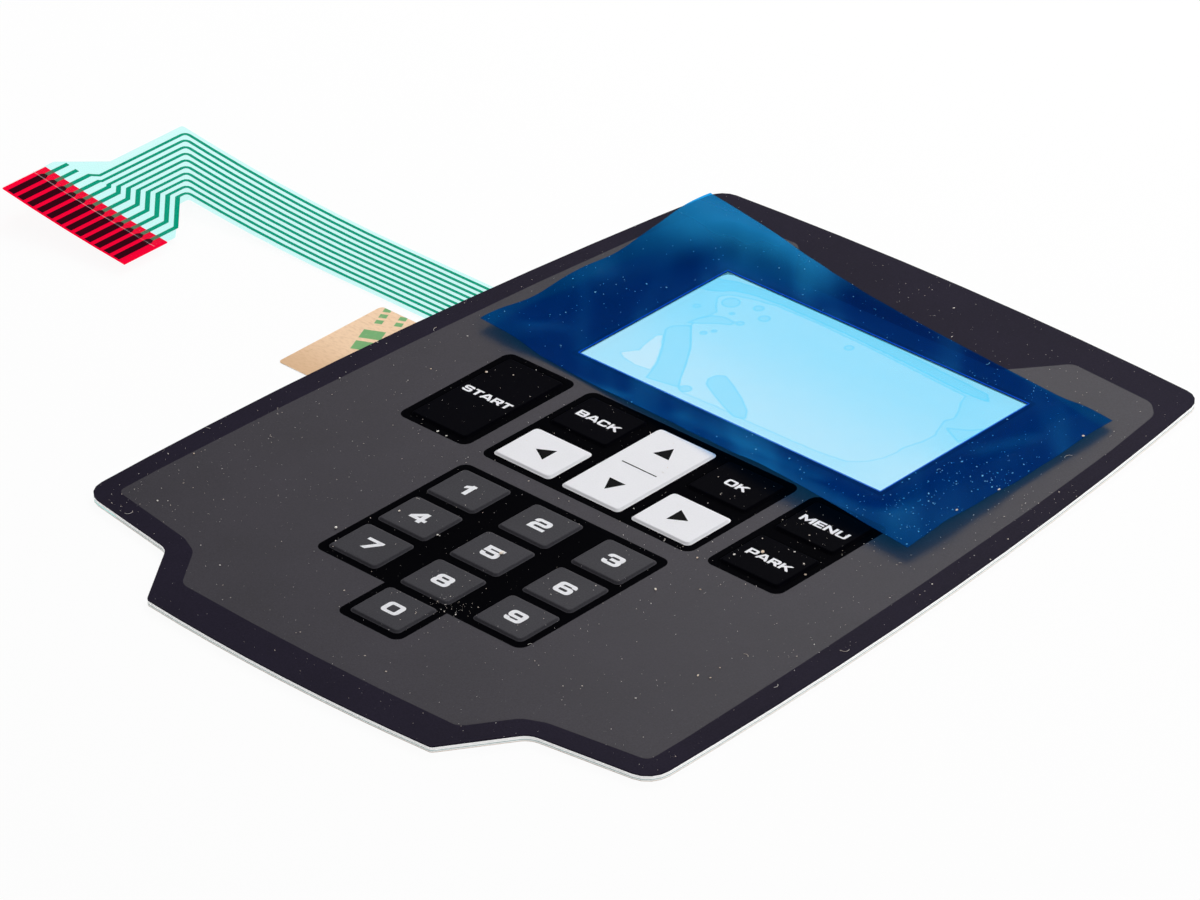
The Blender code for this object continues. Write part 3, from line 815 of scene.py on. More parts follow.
def sheet_with_thickness(mesh: Mesh, thickness: float, offset: float, rear_material: int = 0) -> Mesh:
    """Give a sheet its thickness, as a mesh with sharp cut edges.

    Args:
        mesh: The sheet.
        thickness: How thick it is.
        offset: -1 to grow below the sheet, 1 to grow above it.
        rear_material: How many places further on in the mesh's materials its other side's are.

    Returns:
        The closed mesh.
    """
    holder = bpy.data.objects.new(mesh.name + "_sheet", mesh)
    bpy.context.scene.collection.objects.link(holder)
    wall = holder.modifiers.new("thickness", "SOLIDIFY")
    wall.thickness = thickness
    wall.offset = offset
    wall.use_even_offset = True
    wall.material_offset = rear_material
    bpy.context.view_layer.update()
    evaluated = holder.evaluated_get(bpy.context.evaluated_depsgraph_get())
    solid = bpy.data.meshes.new_from_object(evaluated)
    bpy.data.objects.remove(holder, do_unlink=True)
    solid.name = mesh.name
    solid.polygons.foreach_set("use_smooth", [True] * len(solid.polygons))
    solid.set_sharp_from_angle(angle=math.radians(50))
    return solid


def rounded_outline(corners: Sequence[Point], radii: dict[int, float], segments: int = 5) -> list[Vector]:
    """Round some corners of an outline.

    Args:
        corners: Its corners, anticlockwise.
        radii: Radius of each rounded corner, by the corner's place in the list.
        segments: Edges along each rounded corner.

    Returns:
        The outline's points, anticlockwise.
    """
    shape = bmesh.new()
    verts = [shape.verts.new((x, y, 0)) for x, y in corners]
    shape.faces.new(verts)
    for index, radius in radii.items():
        before, corner, after = (Vector(corners[(index + step) % len(corners)]) for step in (-1, 0, 1))
        reach = radius / math.tan((before - corner).angle(after - corner) / 2)
        bmesh.ops.bevel(shape, geom=[verts[index]], offset=reach, offset_type="OFFSET", segments=segments,
                        profile=0.5, affect="VERTICES", material=-1, clamp_overlap=False)
    shape.faces.ensure_lookup_table()
    points = [vert.co.copy() for vert in shape.faces[0].verts]
    shape.free()
    return points


def outline_edges(shape: BMesh, points: Sequence[Vector], z: float) -> list[BMEdge]:
    """Closed run of edges through points, at a height."""
    verts = [shape.verts.new((point.x, point.y, z)) for point in points]
    return [shape.edges.new((verts[i - 1], verts[i])) for i in range(len(verts))]


def smooth(share: float) -> float:
    """Share from 0 to 1 that starts and ends gently."""
    return share * share * (3 - 2 * share)


class Shape(Enum):
    """How a pen stroke's corners are drawn."""

    SQUARE = "square"
    ROUND = "round"


@dataclass(frozen=True)
class Stroke:
    """A pen stroke through points of a letter's box, where the pen's centre reaches from 0 to 1."""

    points: tuple[Point, ...]
    corners: Shape = Shape.SQUARE
    closed: bool = False
    square: tuple[int, ...] = ()


ROUND, SQUARE = Shape.ROUND, Shape.SQUARE
BOX = ((0, 0), (1, 0), (1, 1), (0, 1))
# Each letter's width as a share of its height, and its strokes.
LETTERS: dict[str, tuple[float, tuple[Stroke, ...]]] = {
    "0": (1.22, (Stroke(BOX, ROUND, True),)),
    "1": (0.80, (Stroke(((0.62, 0), (0.62, 1))), Stroke(((0.66, 1.0), (-0.1, 0.72))))),
    "2": (1.20, (
        Stroke(((0, 0.86), (0, 1), (1, 1), (1, 0.5), (0, 0.5), (0, 0), (1, 0)), ROUND, False, (5,)),)),
    "3": (1.20, (Stroke(((0, 0.86), (0, 1), (0.98, 1), (0.98, 0.5), (0.42, 0.5)), ROUND),
                 Stroke(((0.42, 0.5), (1, 0.5), (1, 0), (0, 0), (0, 0.14)), ROUND))),
    "4": (1.22, (Stroke(((0.74, 0), (0.74, 1))), Stroke(((0.66, 1.0), (-0.06, 0.26), (1.0, 0.26))))),
    "5": (1.20, (
        Stroke(((1, 1), (0, 1), (0, 0.56), (1, 0.56), (1, 0), (0, 0), (0, 0.14)), ROUND, False, (1, 2)),)),
    "6": (1.20, (Stroke(((0, 0), (1, 0), (1, 0.54), (0, 0.54)), ROUND, True, (3,)),
                 Stroke(((0, 0.5), (0, 1), (1, 1), (1, 0.89)), ROUND))),
    "7": (1.16, (Stroke(((0, 1), (1.02, 1), (0.3, -0.1))),)),
    "8": (1.20, (Stroke(((0.03, 0.5), (0.97, 0.5), (0.97, 1), (0.03, 1)), ROUND, True),
                 Stroke(((0, 0), (1, 0), (1, 0.5), (0, 0.5)), ROUND, True))),
    "9": (1.20, (Stroke(((0, 0.46), (1, 0.46), (1, 1), (0, 1)), ROUND, True, (1,)),
                 Stroke(((1, 0.5), (1, 0), (0, 0), (0, 0.11)), ROUND))),
    "A": (1.28, (Stroke(((-0.08, -0.1), (0.44, 1.1))), Stroke(((1.08, -0.1), (0.56, 1.1))),
                 Stroke(((0.2, 0.2), (0.8, 0.2))))),
    "B": (1.20, (Stroke(BOX, ROUND, True, (0, 3)), Stroke(((0, 0.5), (1, 0.5))))),
    "C": (1.20, (Stroke(((1, 0.84), (1, 1), (0, 1), (0, 0), (1, 0), (1, 0.16)), ROUND),)),
    "E": (1.10, (Stroke(((1, 1), (0, 1), (0, 0), (1, 0))), Stroke(((0.1, 0.5), (0.94, 0.5))))),
    "K": (1.22, (Stroke(((0, 0), (0, 1))), Stroke(((0.1, 0.4), (1.05, 1.12))),
                 Stroke(((0.38, 0.66), (1.1, -0.12))))),
    "M": (1.58, (Stroke(((0, 0), (0, 1))), Stroke(((1, 0), (1, 1))), Stroke(((0.02, 1.1), (0.5, 0.16))),
                 Stroke(((0.98, 1.1), (0.5, 0.16))))),
    "N": (1.32, (Stroke(((0, 0), (0, 1))), Stroke(((1, 0), (1, 1))), Stroke(((-0.04, 1.1), (1.04, -0.1))))),
    "O": (1.28, (Stroke(BOX, ROUND, True),)),
    "P": (1.18, (Stroke(((0, 0.36), (1, 0.36), (1, 1), (0, 1)), ROUND, True, (0, 3)),
                 Stroke(((0, 0), (0, 0.5))))),
    "R": (1.18, (Stroke(((0, 0.42), (1, 0.42), (1, 1), (0, 1)), ROUND, True, (0, 3)),
                 Stroke(((0, 0), (0, 0.5))), Stroke(((0.5, 0.5), (1.06, -0.12))))),
    "S": (1.14, (Stroke(((1, 0.9), (1, 1), (0, 1), (0, 0.5), (1, 0.5), (1, 0), (0, 0), (0, 0.1)), ROUND),)),
    "T": (1.02, (Stroke(((0, 1), (1, 1))), Stroke(((0.5, 0), (0.5, 1))))),
    "U": (1.32, (Stroke(((0, 1), (0, 0), (1, 0), (1, 1)), ROUND),)),
}


@dataclass(frozen=True)
class Pen:
    """Pen of the legends' wide bold lettering, in shares of the letters' height."""

    upright: float = 0.31
    level: float = 0.225
    outer_radius: float = 0.27
    inner_radius: float = 0.09
    gap: float = 0.13

    def width_of(self, word: str) -> float:
        """Width of a word."""
        return sum(LETTERS[letter][0] for letter in word) + self.gap * (len(word) - 1)

    def half_width(self, heading: Vector) -> float:
        """Half the pen's width across a stroke."""
        return math.hypot(self.upright / 2 * heading.y, self.level / 2 * heading.x)

    def outline(self, points: Sequence[Vector], side: float, closed: bool) -> list[Vector]:
        """One edge of a stroke, with its corners mitred.

        Args:
            points: The pen's path.
            side: 1 for the edge on the left of the path, -1 for the right.
            closed: Whether the path ends where it starts.

        Returns:
            The edge's points.
        """
        count = len(points)
        spans = count if closed else count - 1
        headings = [(points[(i + 1) % count] - points[i]).normalized() for i in range(spans)]
        edge = []
        for i, point in enumerate(points):
            before = headings[i - 1] if closed or i else headings[0]
            after = headings[i % spans] if closed or i < spans else headings[-1]
            start = point + Vector((-before.y, before.x)) * self.half_width(before) * side
            end = point + Vector((-after.y, after.x)) * self.half_width(after) * side
            turn = before.x * after.y - before.y * after.x
            if abs(turn) > 0.01:
                gap = end - start
                start = start + before * ((gap.x * after.y - gap.y * after.x) / turn)
            edge.append(start)
        return edge

    def path(self, stroke: Stroke, width: float) -> list[Vector]:
        """The pen's path in a letter's box, with its free ends drawn out to the pen's full width.

        Args:
            stroke: The stroke.
            width: Width of the box.

        Returns:
            The path's points.
        """
        run, climb = width - self.upright, 1 - self.level
        points = [Vector((self.upright / 2 + u * run, self.level / 2 + v * climb))
                  for u, v in stroke.points]
        if not stroke.closed:
            for end, inner in ((0, 1), (-1, -2)):
                heading = (points[end] - points[inner]).normalized()
                points[end] = points[end] + heading * math.hypot(
                    self.upright / 2 * heading.x, self.level / 2 * heading.y)
        return points

    def draw(self, shape: BMesh, stroke: Stroke, width: float, z: float, rise: float) -> list:
        """Draw one stroke as a thin closed body.

        Args:
            shape: Where it is drawn.
            stroke: The stroke.
            width: Width of the letter's box.
            z: Height of the stroke's foot.
            rise: How high it stands.

        Returns:
            Its vertices.
        """
        points = self.path(stroke, width)
        left = self.outline(points, 1, stroke.closed)
        right = self.outline(points, -1, stroke.closed)
        piece = bmesh.new()
        if stroke.closed:
            edges = []
            for ring, radius in ((right, self.outer_radius), (left, self.inner_radius)):
                radii = {i: radius for i in range(len(ring)) if i not in stroke.square}
                edges += outline_edges(piece, rounded_outline(ring, radii), 0.0)
        else:
            ring = right + left[::-1]
            radii = self.corner_radii(stroke, ring, len(points)) if stroke.corners is ROUND else {}
            edges = outline_edges(piece, rounded_outline(ring, radii), 0.0)
        bmesh.ops.triangle_fill(piece, edges=edges, use_beauty=True)
        bmesh.ops.recalc_face_normals(piece, faces=piece.faces)
        for place, normal in (((0, 0, 0), (0, -1, 0)), ((0, 1, 0), (0, 1, 0)),
                              ((0, 0, 0), (-1, 0, 0)), ((width, 0, 0), (1, 0, 0))):
            whole = list(piece.verts) + list(piece.edges) + list(piece.faces)
            bmesh.ops.bisect_plane(piece, geom=whole, dist=1e-5, plane_co=place, plane_no=normal,
                                   clear_outer=True)
        raised = bmesh.ops.extrude_face_region(piece, geom=list(piece.faces), use_keep_orig=True)
        lifted = [item for item in raised["geom"] if isinstance(item, BMVert)]
        bmesh.ops.translate(piece, vec=(0, 0, rise), verts=lifted)
        bmesh.ops.translate(piece, vec=(0, 0, z), verts=piece.verts)
        bmesh.ops.recalc_face_normals(piece, faces=piece.faces)
        mesh = mesh_of(piece, "stroke")
        count = len(shape.verts)
        shape.from_mesh(mesh)
        bpy.data.meshes.remove(mesh)
        shape.verts.ensure_lookup_table()
        return shape.verts[count:]

    def corner_radii(self, stroke: Stroke, ring: Sequence[Vector], count: int) -> dict[int, float]:
        """Radii of the rounded corners of an open stroke's outline.

        Args:
            stroke: The stroke.
            ring: Its outline.
            count: How many points its path has.

        Returns:
            The radii, by the corner's place in the outline.
        """
        radii = {}
        for index in range(1, count - 1):
            if index in stroke.square:
                continue
            for place in (index, 2 * count - 1 - index):
                before, corner, after = ring[place - 1], ring[place], ring[(place + 1) % len(ring)]
                ahead, back = after - corner, corner - before
                convex = back.x * ahead.y - back.y * ahead.x > 0
                radii[place] = self.outer_radius if convex else self.inner_radius
        return radii


@dataclass
class Key:
    """One embossed key."""

    name: str
    centre: Point
    size: Point
    ink: Ink
    word: str = ""

    def outline(self, grow: float = 0.0) -> list[Point]:
        """Outline of the key.

        Args:
            grow: How much larger it is all round.

        Returns:
            Its corners, anticlockwise.
        """
        half_x, half_y = self.size[0] / 2 + grow, self.size[1] / 2 + grow
        x, y = self.centre
        return [(x + across * half_x, y + up * half_y) for across, up in BOX_CORNERS]


@dataclass
class KeyLayout:
    """Sizes and places of the keys, the same as the solids'."""

    function_size: Point = (13.6 * MM, 11.0 * MM)
    row_gap: float = 2.65 * MM
    centre_y: float = 0.8 * MM
    arrow_pitch: float = 16.2 * MM
    side_x: float = 36.3 * MM
    digit_size: Point = (11.5 * MM, 9.7 * MM)
    digit_pitch: Point = (17.0 * MM, 11.5 * MM)
    digit_top_y: float = -23.1 * MM

    def keys(self) -> list[Key]:
        """Lay out the keys.

        Returns:
            All the keys.
        """
        width, height = self.function_size
        row = (height + self.row_gap) / 2
        upper, lower = self.centre_y + row, self.centre_y - row
        tall = (width, 2 * height + self.row_gap)
        black, white = Ink.FUNCTION_KEY, Ink.ARROW_KEY
        keys = [
            Key("start", (-self.side_x, self.centre_y), tall, black, "START"),
            Key("back", (-self.arrow_pitch, upper), self.function_size, black, "BACK"),
            Key("ok", (self.arrow_pitch, upper), self.function_size, black, "OK"),
            Key("left", (-self.arrow_pitch, lower), self.function_size, white),
            Key("right", (self.arrow_pitch, lower), self.function_size, white),
            Key("up_down", (0.0, self.centre_y), tall, white),
            Key("menu", (self.side_x, upper), self.function_size, black, "MENU"),
            Key("park", (self.side_x, lower), self.function_size, black, "PARK"),
        ]
        for number in range(10):
            row_index, column_index = divmod(number - 1, 3) if number else (3, 1)
            x = (column_index - 1) * self.digit_pitch[0]
            y = self.digit_top_y - row_index * self.digit_pitch[1]
            keys.append(Key(f"digit_{number}", (x, y), self.digit_size, Ink.DIGIT_KEY, str(number)))
        return keys


class Panel(Enum):
    """Black panels that the keys stand on."""

    LEFT = "left"
    CENTRE = "centre"
    RIGHT = "right"
    DIGITS = "digits"


@dataclass
class GraphicOverlay:
    """The printed face: one film with fields of print, formed up into a soft plateau at each key."""

    layout: KeyLayout
    thickness: float = 0.25 * MM
    corner_radius: float = 1.0 * MM
    height: float = 0.35 * MM
    wall: float = 0.55 * MM
    shoulder: float = 0.82 * MM
    shoulder_rise: float = 0.06 * MM
    wall_steps: int = 12
    rest_band: float = 0.12 * MM
    panel_margin: float = 1.55 * MM
    panel_radius: float = 1.8 * MM
    window_line: float = 1.0 * MM
    window_radius: float = 0.12 * MM

    def build(self) -> Object:
        """Make the face and put it in the place of its solid.

        Returns:
            The face.
        """
        self.face_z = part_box("graphic_overlay")[1].z - self.height
        shape = bmesh.new()
        pad = self.pad_edges(shape)
        field = self.loop(shape, *self.field_corners())
        panels = {panel: self.loop(shape, *self.panel_corners(panel)) for panel in Panel}
        line = self.loop(shape, *self.window_corners(self.window_line))
        window = self.loop(shape, *self.window_corners(0.0))
        self.fill(shape, Ink.BORDER, pad, field)
        self.fill(shape, Ink.FIELD, field, line, *panels.values())
        self.fill(shape, Ink.BORDER, line, window)
        self.fill(shape, Ink.WINDOW, window)
        for panel, edges in panels.items():
            rims = [self.emboss(shape, key) for key in self.keys_on(panel)]
            self.fill(shape, Ink.PANEL, edges, *rims)
        bmesh.ops.recalc_face_normals(shape, faces=shape.faces)
        if sum(face.normal.z * face.calc_area() for face in shape.faces) < 0:
            bmesh.ops.reverse_faces(shape, faces=shape.faces)
        sheet = mesh_of(shape, "graphic_overlay_face")
        window_film, glue = WindowFilm().material(), Adhesive().material()
        prints = [window_film if ink is Ink.WINDOW else PrintedFilm(ink).material() for ink in Ink]
        rears = [window_film if ink is Ink.WINDOW else glue for ink in Ink]
        solid = sheet_with_thickness(sheet, self.thickness, -1, len(prints))
        piece = link("overlay_face", solid, prints + rears)
        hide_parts("graphic_overlay")
        LOG.info("face at %.2f mm over the liner's rear", self.face_z / MM)
        return piece

    def panel_of(self, key: Key) -> Panel:
        """Black panel that a key stands on."""
        named = {"start": Panel.LEFT, "menu": Panel.RIGHT, "park": Panel.RIGHT}
        return Panel.DIGITS if key.ink is Ink.DIGIT_KEY else named.get(key.name, Panel.CENTRE)

    def keys_on(self, panel: Panel) -> list[Key]:
        """Keys that stand on a panel."""
        return [key for key in self.layout.keys() if self.panel_of(key) is panel]

    def pad_edges(self, shape: BMesh) -> list:
        """Outline of the face, from its solid's cut edge.

        Args:
            shape: Where it is made.

        Returns:
            Its edges.
        """
        solid = bmesh.new()
        solid.from_mesh(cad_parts["graphic_overlay"].data)
        bmesh.ops.remove_doubles(solid, verts=solid.verts, dist=1e-6)
        cut = {face for face in solid.faces if abs(face.normal.z) < 0.05}
        rim = [edge for edge in solid.edges if cut.intersection(edge.link_faces)
               and all(abs(vert.co.z - self.face_z) < 1e-6 for vert in edge.verts)]
        made = {}
        for vert in {vert for edge in rim for vert in edge.verts}:
            made[vert] = shape.verts.new(vert.co)
        edges = [shape.edges.new([made[vert] for vert in edge.verts]) for edge in rim]
        solid.free()
        return edges

    def loop(self, shape: BMesh, corners: Sequence[Point], radii: dict[int, float]) -> list:
        """Closed outline of a field of print, with no face in it yet."""
        return outline_edges(shape, rounded_outline(corners, radii, 6), self.face_z)

    def fill(self, shape: BMesh, ink: Ink, *loops: list) -> None:
        """Fill what lies between outlines.

        Args:
            shape: Where it is made.
            ink: The ink printed there.
            loops: The outlines' edges.
        """
        edges = [edge for loop in loops for edge in loop]
        made = bmesh.ops.triangle_fill(shape, edges=edges, use_beauty=True)["geom"]
        for face in made:
            if isinstance(face, BMFace):
                face.material_index = list(Ink).index(ink)

    def emboss(self, shape: BMesh, key: Key) -> list:
        """Form one key up from the sheet.

        Args:
            shape: The sheet.
            key: The key.

        Returns:
            Edges of the outline it stands in.
        """
        radii = {i: self.corner_radius + self.rest_band for i in range(4)}
        rim = self.loop(shape, key.outline(self.rest_band), radii)
        face = bmesh.ops.contextual_create(shape, geom=rim)["faces"][0]
        face.material_index = list(Ink).index(Ink.PANEL)
        self.inset(shape, face, self.rest_band, 0.0)
        face.material_index = list(Ink).index(key.ink)
        for step in range(1, self.wall_steps + 1):
            share = step / self.wall_steps
            steep = min(share * self.shoulder / self.wall, 1.0)
            rise = (self.height - self.shoulder_rise) * smooth(steep)
            rise += self.shoulder_rise * (1 - (1 - share) ** 2)
            self.inset(shape, face, self.shoulder / self.wall_steps, rise)
        self.inset(shape, face, self.rest_band, self.height)
        return rim

    def inset(self, shape: BMesh, face: BMFace, width: float, height: float) -> None:
        """Draw a face in and put it at a height.

        Args:
            shape: The sheet.
            face: The face.
            width: How far its edges move in.
            height: Its height over the sheet.
        """
        bmesh.ops.inset_region(shape, faces=[face], thickness=width, depth=0.0, use_even_offset=True,
                               use_boundary=True)
        for vert in face.verts:
            vert.co.z = self.face_z + height

    def field_corners(self) -> tuple[list[Point], dict[int, float]]:
        """Edge of the grey field: its right half, then its left half.

        Returns:
            Its corners and the radii of those that are rounded.
        """
        right = [(24.0, 65.75), (32.3, 75.75), (50.9, 74.6), (54.0, 71.7), (55.95, 58.1), (58.1, 35.0),
                 (60.0, 5.0), (61.4, -25.0), (62.2, -53.0), (62.15, -62.0), (42.5, -64.9), (38.4, -66.7),
                 (32.4, -75.0), (14.7, -75.6), (0.0, -75.75)]
        right_radii = [2.6, 2.2, 3.4, 3.4, 0, 0, 0, 0, 0, 1.6, 4.0, 4.0, 2.6, 0, 0]
        points = right + [(-x, y) for x, y in right[-2::-1]]
        radii = right_radii + right_radii[-2::-1]
        corners = [(x * MM, y * MM) for x, y in points][::-1]
        rounded = {i: radius * MM for i, radius in enumerate(radii[::-1]) if radius}
        return corners, rounded

    def window_corners(self, margin: float) -> tuple[list[Point], dict[int, float]]:
        """Edge of the window, or of the dark line round it.

        Args:
            margin: How far outside the window it runs.

        Returns:
            Its corners and their radii.
        """
        size = (WINDOW_SIZE[0] * MM, WINDOW_SIZE[1] * MM)
        key = Key("window", (0.0, WINDOW_Y * MM), size, Ink.WINDOW)
        return key.outline(margin), {i: self.window_radius + margin * 0.5 for i in range(4)}

    def panel_corners(self, panel: Panel) -> tuple[list[Point], dict[int, float]]:
        """Edge of a black panel; that of the digits steps out round the 0.

        Args:
            panel: The panel.

        Returns:
            Its corners and the radii of those that are rounded.
        """
        keys = self.keys_on(panel)
        if panel is Panel.DIGITS:
            zero = next(key for key in keys if key.word == "0")
            keys.remove(zero)
        xs = [x for key in keys for x, _ in key.outline(self.panel_margin)]
        ys = [y for key in keys for _, y in key.outline(self.panel_margin)]
        corners = [(min(xs), min(ys)), (max(xs), min(ys)), (max(xs), max(ys)), (min(xs), max(ys))]
        if panel is not Panel.DIGITS:
            return corners, {i: self.panel_radius for i in range(4)}
        outline = zero.outline(self.panel_margin)
        step = [(outline[0][0], min(ys)), outline[0], outline[1], (outline[1][0], min(ys))]
        corners = corners[:1] + step + corners[1:]
        return corners, {i: self.panel_radius for i in (0, 2, 3, 5, 6, 7)}


@dataclass
class Legends:
    """Words, numbers and arrows printed on the keys."""

    layout: KeyLayout
    face_z: float
    pen: Pen = Pen()
    word_height: float = 1.815 * MM
    digit_height: float = 3.12 * MM
    lift: float = 0.002 * MM
    rise: float = 0.008 * MM
    arrow_base: float = 3.7 * MM
    arrow_height: float = 3.3 * MM
    arrow_shift: float = 6.9 * MM
    divider: Point = (8.1 * MM, 0.26 * MM)

    def build(self) -> list[Object]:
        """Print the legends.

        Returns:
            The white ones and the black ones.
        """
        white, black = bmesh.new(), bmesh.new()
        turns = {"left": 90, "right": -90}
        for key in self.layout.keys():
            if key.word:
                height = self.digit_height if key.word.isdigit() else self.word_height
                self.write(white, key.word, key.centre, height)
            elif key.name in turns:
                self.arrow(black, key.centre, turns[key.name])
            else:
                x, y = key.centre
                self.arrow(black, (x, y + self.arrow_shift), 0)
                self.arrow(black, (x, y - self.arrow_shift), 180)
                self.bar(black, key.centre)
        pale = LegendInk("legend_white", shade(240, 240, 244)).material()
        dark = LegendInk("legend_black", shade(4, 4, 5), 0.008).material()
        return [link("key_legends", mesh_of(white, "key_legends"), [pale]),
                link("arrow_legends", mesh_of(black, "arrow_legends"), [dark])]

    def write(self, shape: BMesh, word: str, centre: Point, height: float) -> None:
        """Write a word centred on a point.

        Args:
            shape: Where it is made.
            word: The word.
            centre: Its centre.
            height: Height of its letters.
        """
        start = -self.pen.width_of(word) / 2
        foot = (self.face_z + self.lift) / height
        for letter in word:
            width, strokes = LETTERS[letter]
            place = Matrix.Translation((centre[0], centre[1], 0)) @ Matrix.Scale(height, 4)
            place = place @ Matrix.Translation((start, -0.5, 0))
            for order, stroke in enumerate(strokes):
                rise = (self.rise + order * 0.002 * MM) / height
                verts = self.pen.draw(shape, stroke, width, foot, rise)
                bmesh.ops.transform(shape, matrix=place, verts=verts)
            start += width + self.pen.gap

    def arrow(self, shape: BMesh, centre: Point, turn: float) -> None:
        """Print a triangle.

        Args:
            shape: Where it is made.
            centre: Its centre.
            turn: Its turn from pointing up the face, in degrees.
        """
        verts = bmesh.ops.create_cone(
            shape, cap_ends=True, segments=3, radius1=1.0, radius2=1.0, depth=self.rise)["verts"]
        corner = max(math.atan2(vert.co.y, vert.co.x) for vert in verts if vert.co.z > 0)
        bmesh.ops.transform(shape, matrix=Matrix.Rotation(math.pi / 2 - corner, 4, "Z"), verts=verts)
        stretch = (self.arrow_base / math.sqrt(3), self.arrow_height / 1.5, 1)
        bmesh.ops.scale(shape, vec=stretch, verts=verts)
        bmesh.ops.translate(shape, vec=(0, -self.arrow_height / 6, 0), verts=verts)
        turned = Matrix.Rotation(math.radians(turn), 4, "Z")
        place = Matrix.Translation((centre[0], centre[1], self.face_z + self.lift + self.rise / 2))
        bmesh.ops.transform(shape, matrix=place @ turned, verts=verts)

    def bar(self, shape: BMesh, centre: Point) -> None:
        """Print the thin line between the up and down arrows.

        Args:
            shape: Where it is made.
            centre: Its centre.
        """
        verts = bmesh.ops.create_cube(shape, size=1.0)["verts"]
        bmesh.ops.scale(shape, vec=(self.divider[0], self.divider[1], self.rise), verts=verts)
        place = (centre[0], centre[1], self.face_z + self.lift + self.rise / 2)
        bmesh.ops.translate(shape, vec=place, verts=verts)


@dataclass(frozen=True)
class AirShape:
    """Something seen behind the film at the window: outlines and round bubbles, in millimetres."""

    name: str
    outlines: tuple[tuple[Point, ...], ...]
    bubbles: tuple[tuple[float, float, float], ...] = ()

    def distance(self, x: float, y: float) -> float:
        """Distance of a place from the shape's edge.

        Args:
            x: Place across.
            y: Place up.

        Returns:
            The distance, below 0 inside the shape.
        """
        place = Vector((x, y))
        rounds = [math.hypot(x - across, y - up) - radius for across, up, radius in self.bubbles]
        nearest = min(rounds, default=FAR)
        for outline in self.outlines:
            corners = [Vector(corner) for corner in outline]
            away = FAR
            inside = False
            for start, end in zip(corners, corners[1:] + corners[:1]):
                foot, share = geometry.intersect_point_line(place, start, end)
                foot = start.lerp(end, min(max(share, 0.0), 1.0))
                away = min(away, (place - foot).length)
                if (start.y > y) != (end.y > y):
                    crossing = start.x + (y - start.y) / (end.y - start.y) * (end.x - start.x)
                    inside = inside != (x < crossing)
            nearest = min(nearest, -away if inside else away)
        return nearest


# What shows behind the film, in places of the keypad.
AIR_SHAPES = (
    AirShape("wet", (
        ((-30.3, 52.7), (-28.9, 54.6), (-25.3, 55.8), (-20.2, 56.9), (-11.2, 57.1), (0.4, 56.8),
         (12.2, 56.1), (20.0, 55.6), (25.6, 55.3), (26.3, 53.1), (27.9, 50.8), (29.0, 48.6),
         (28.2, 46.8), (29.2, 44.2), (30.2, 42.0), (30.0, 39.2), (28.9, 35.8), (29.0, 33.3),
         (28.6, 30.8), (27.1, 28.1), (24.6, 25.9), (18.2, 25.0), (10.9, 24.8), (3.8, 24.6),
         (-5.4, 24.7), (-11.9, 24.3), (-14.0, 25.2), (-15.9, 27.8), (-18.6, 32.0), (-21.8, 36.5),
         (-26.9, 42.0), (-27.7, 44.6), (-26.8, 46.8), (-26.8, 48.6), (-29.1, 50.8)),)),
    AirShape("strip", (
        ((-35.0, 52.6), (-32.0, 53.6), (-29.5, 56.0), (-26.0, 57.0), (-20.0, 57.7), (-5.0, 57.7),
         (12.0, 56.9), (25.0, 56.0), (30.0, 56.4), (28.0, 58.2), (16.0, 58.9), (5.0, 59.7),
         (-12.0, 60.2), (-24.0, 60.0), (-31.0, 58.6), (-35.2, 57.0)),)),
    AirShape("lens", (
        ((-29.9, 27.3), (-27.9, 30.0), (-28.8, 33.0), (-29.1, 35.4), (-28.5, 36.5), (-25.6, 33.1),
         (-22.9, 29.0), (-21.6, 26.2), (-25.0, 25.8), (-28.2, 26.3)),)),
    AirShape("pocket", (
        ((-29.4, 38.2), (-29.3, 39.8), (-26.9, 42.0), (-21.8, 36.5), (-18.6, 32.0), (-15.9, 27.8),
         (-14.0, 25.2), (-20.5, 23.9), (-22.4, 28.7), (-25.5, 33.3)),
        ((-28.1, 42.4), (-27.7, 44.6), (-26.4, 47.1), (-24.5, 48.0), (-22.1, 47.9), (-21.7, 46.8),
         (-23.6, 45.8), (-26.2, 43.6)),
        ((-11.1, 29.1), (-12.1, 30.7), (-11.8, 32.4), (-10.4, 33.3), (-7.1, 31.8), (-3.1, 29.6),
         (0.5, 27.1), (2.1, 24.9), (0.1, 24.2), (-3.4, 25.4), (-8.0, 27.5)),
        ((29.9, 45.2), (32.0, 46.2), (33.8, 47.4), (35.5, 49.6), (35.2, 46.2), (34.8, 43.0))),
        ((-27.1, 52.5, 1.6), (-22.0, 54.2, 0.9), (-18.8, 52.2, 1.0), (-20.9, 48.2, 0.7),
         (-23.5, 41.6, 0.6), (-0.7, 54.4, 0.8), (-12.7, 25.6, 1.1), (-30.9, 47.7, 0.6),
         (-24.3, 49.8, 0.45), (-22.5, 43.3, 0.45))),
)


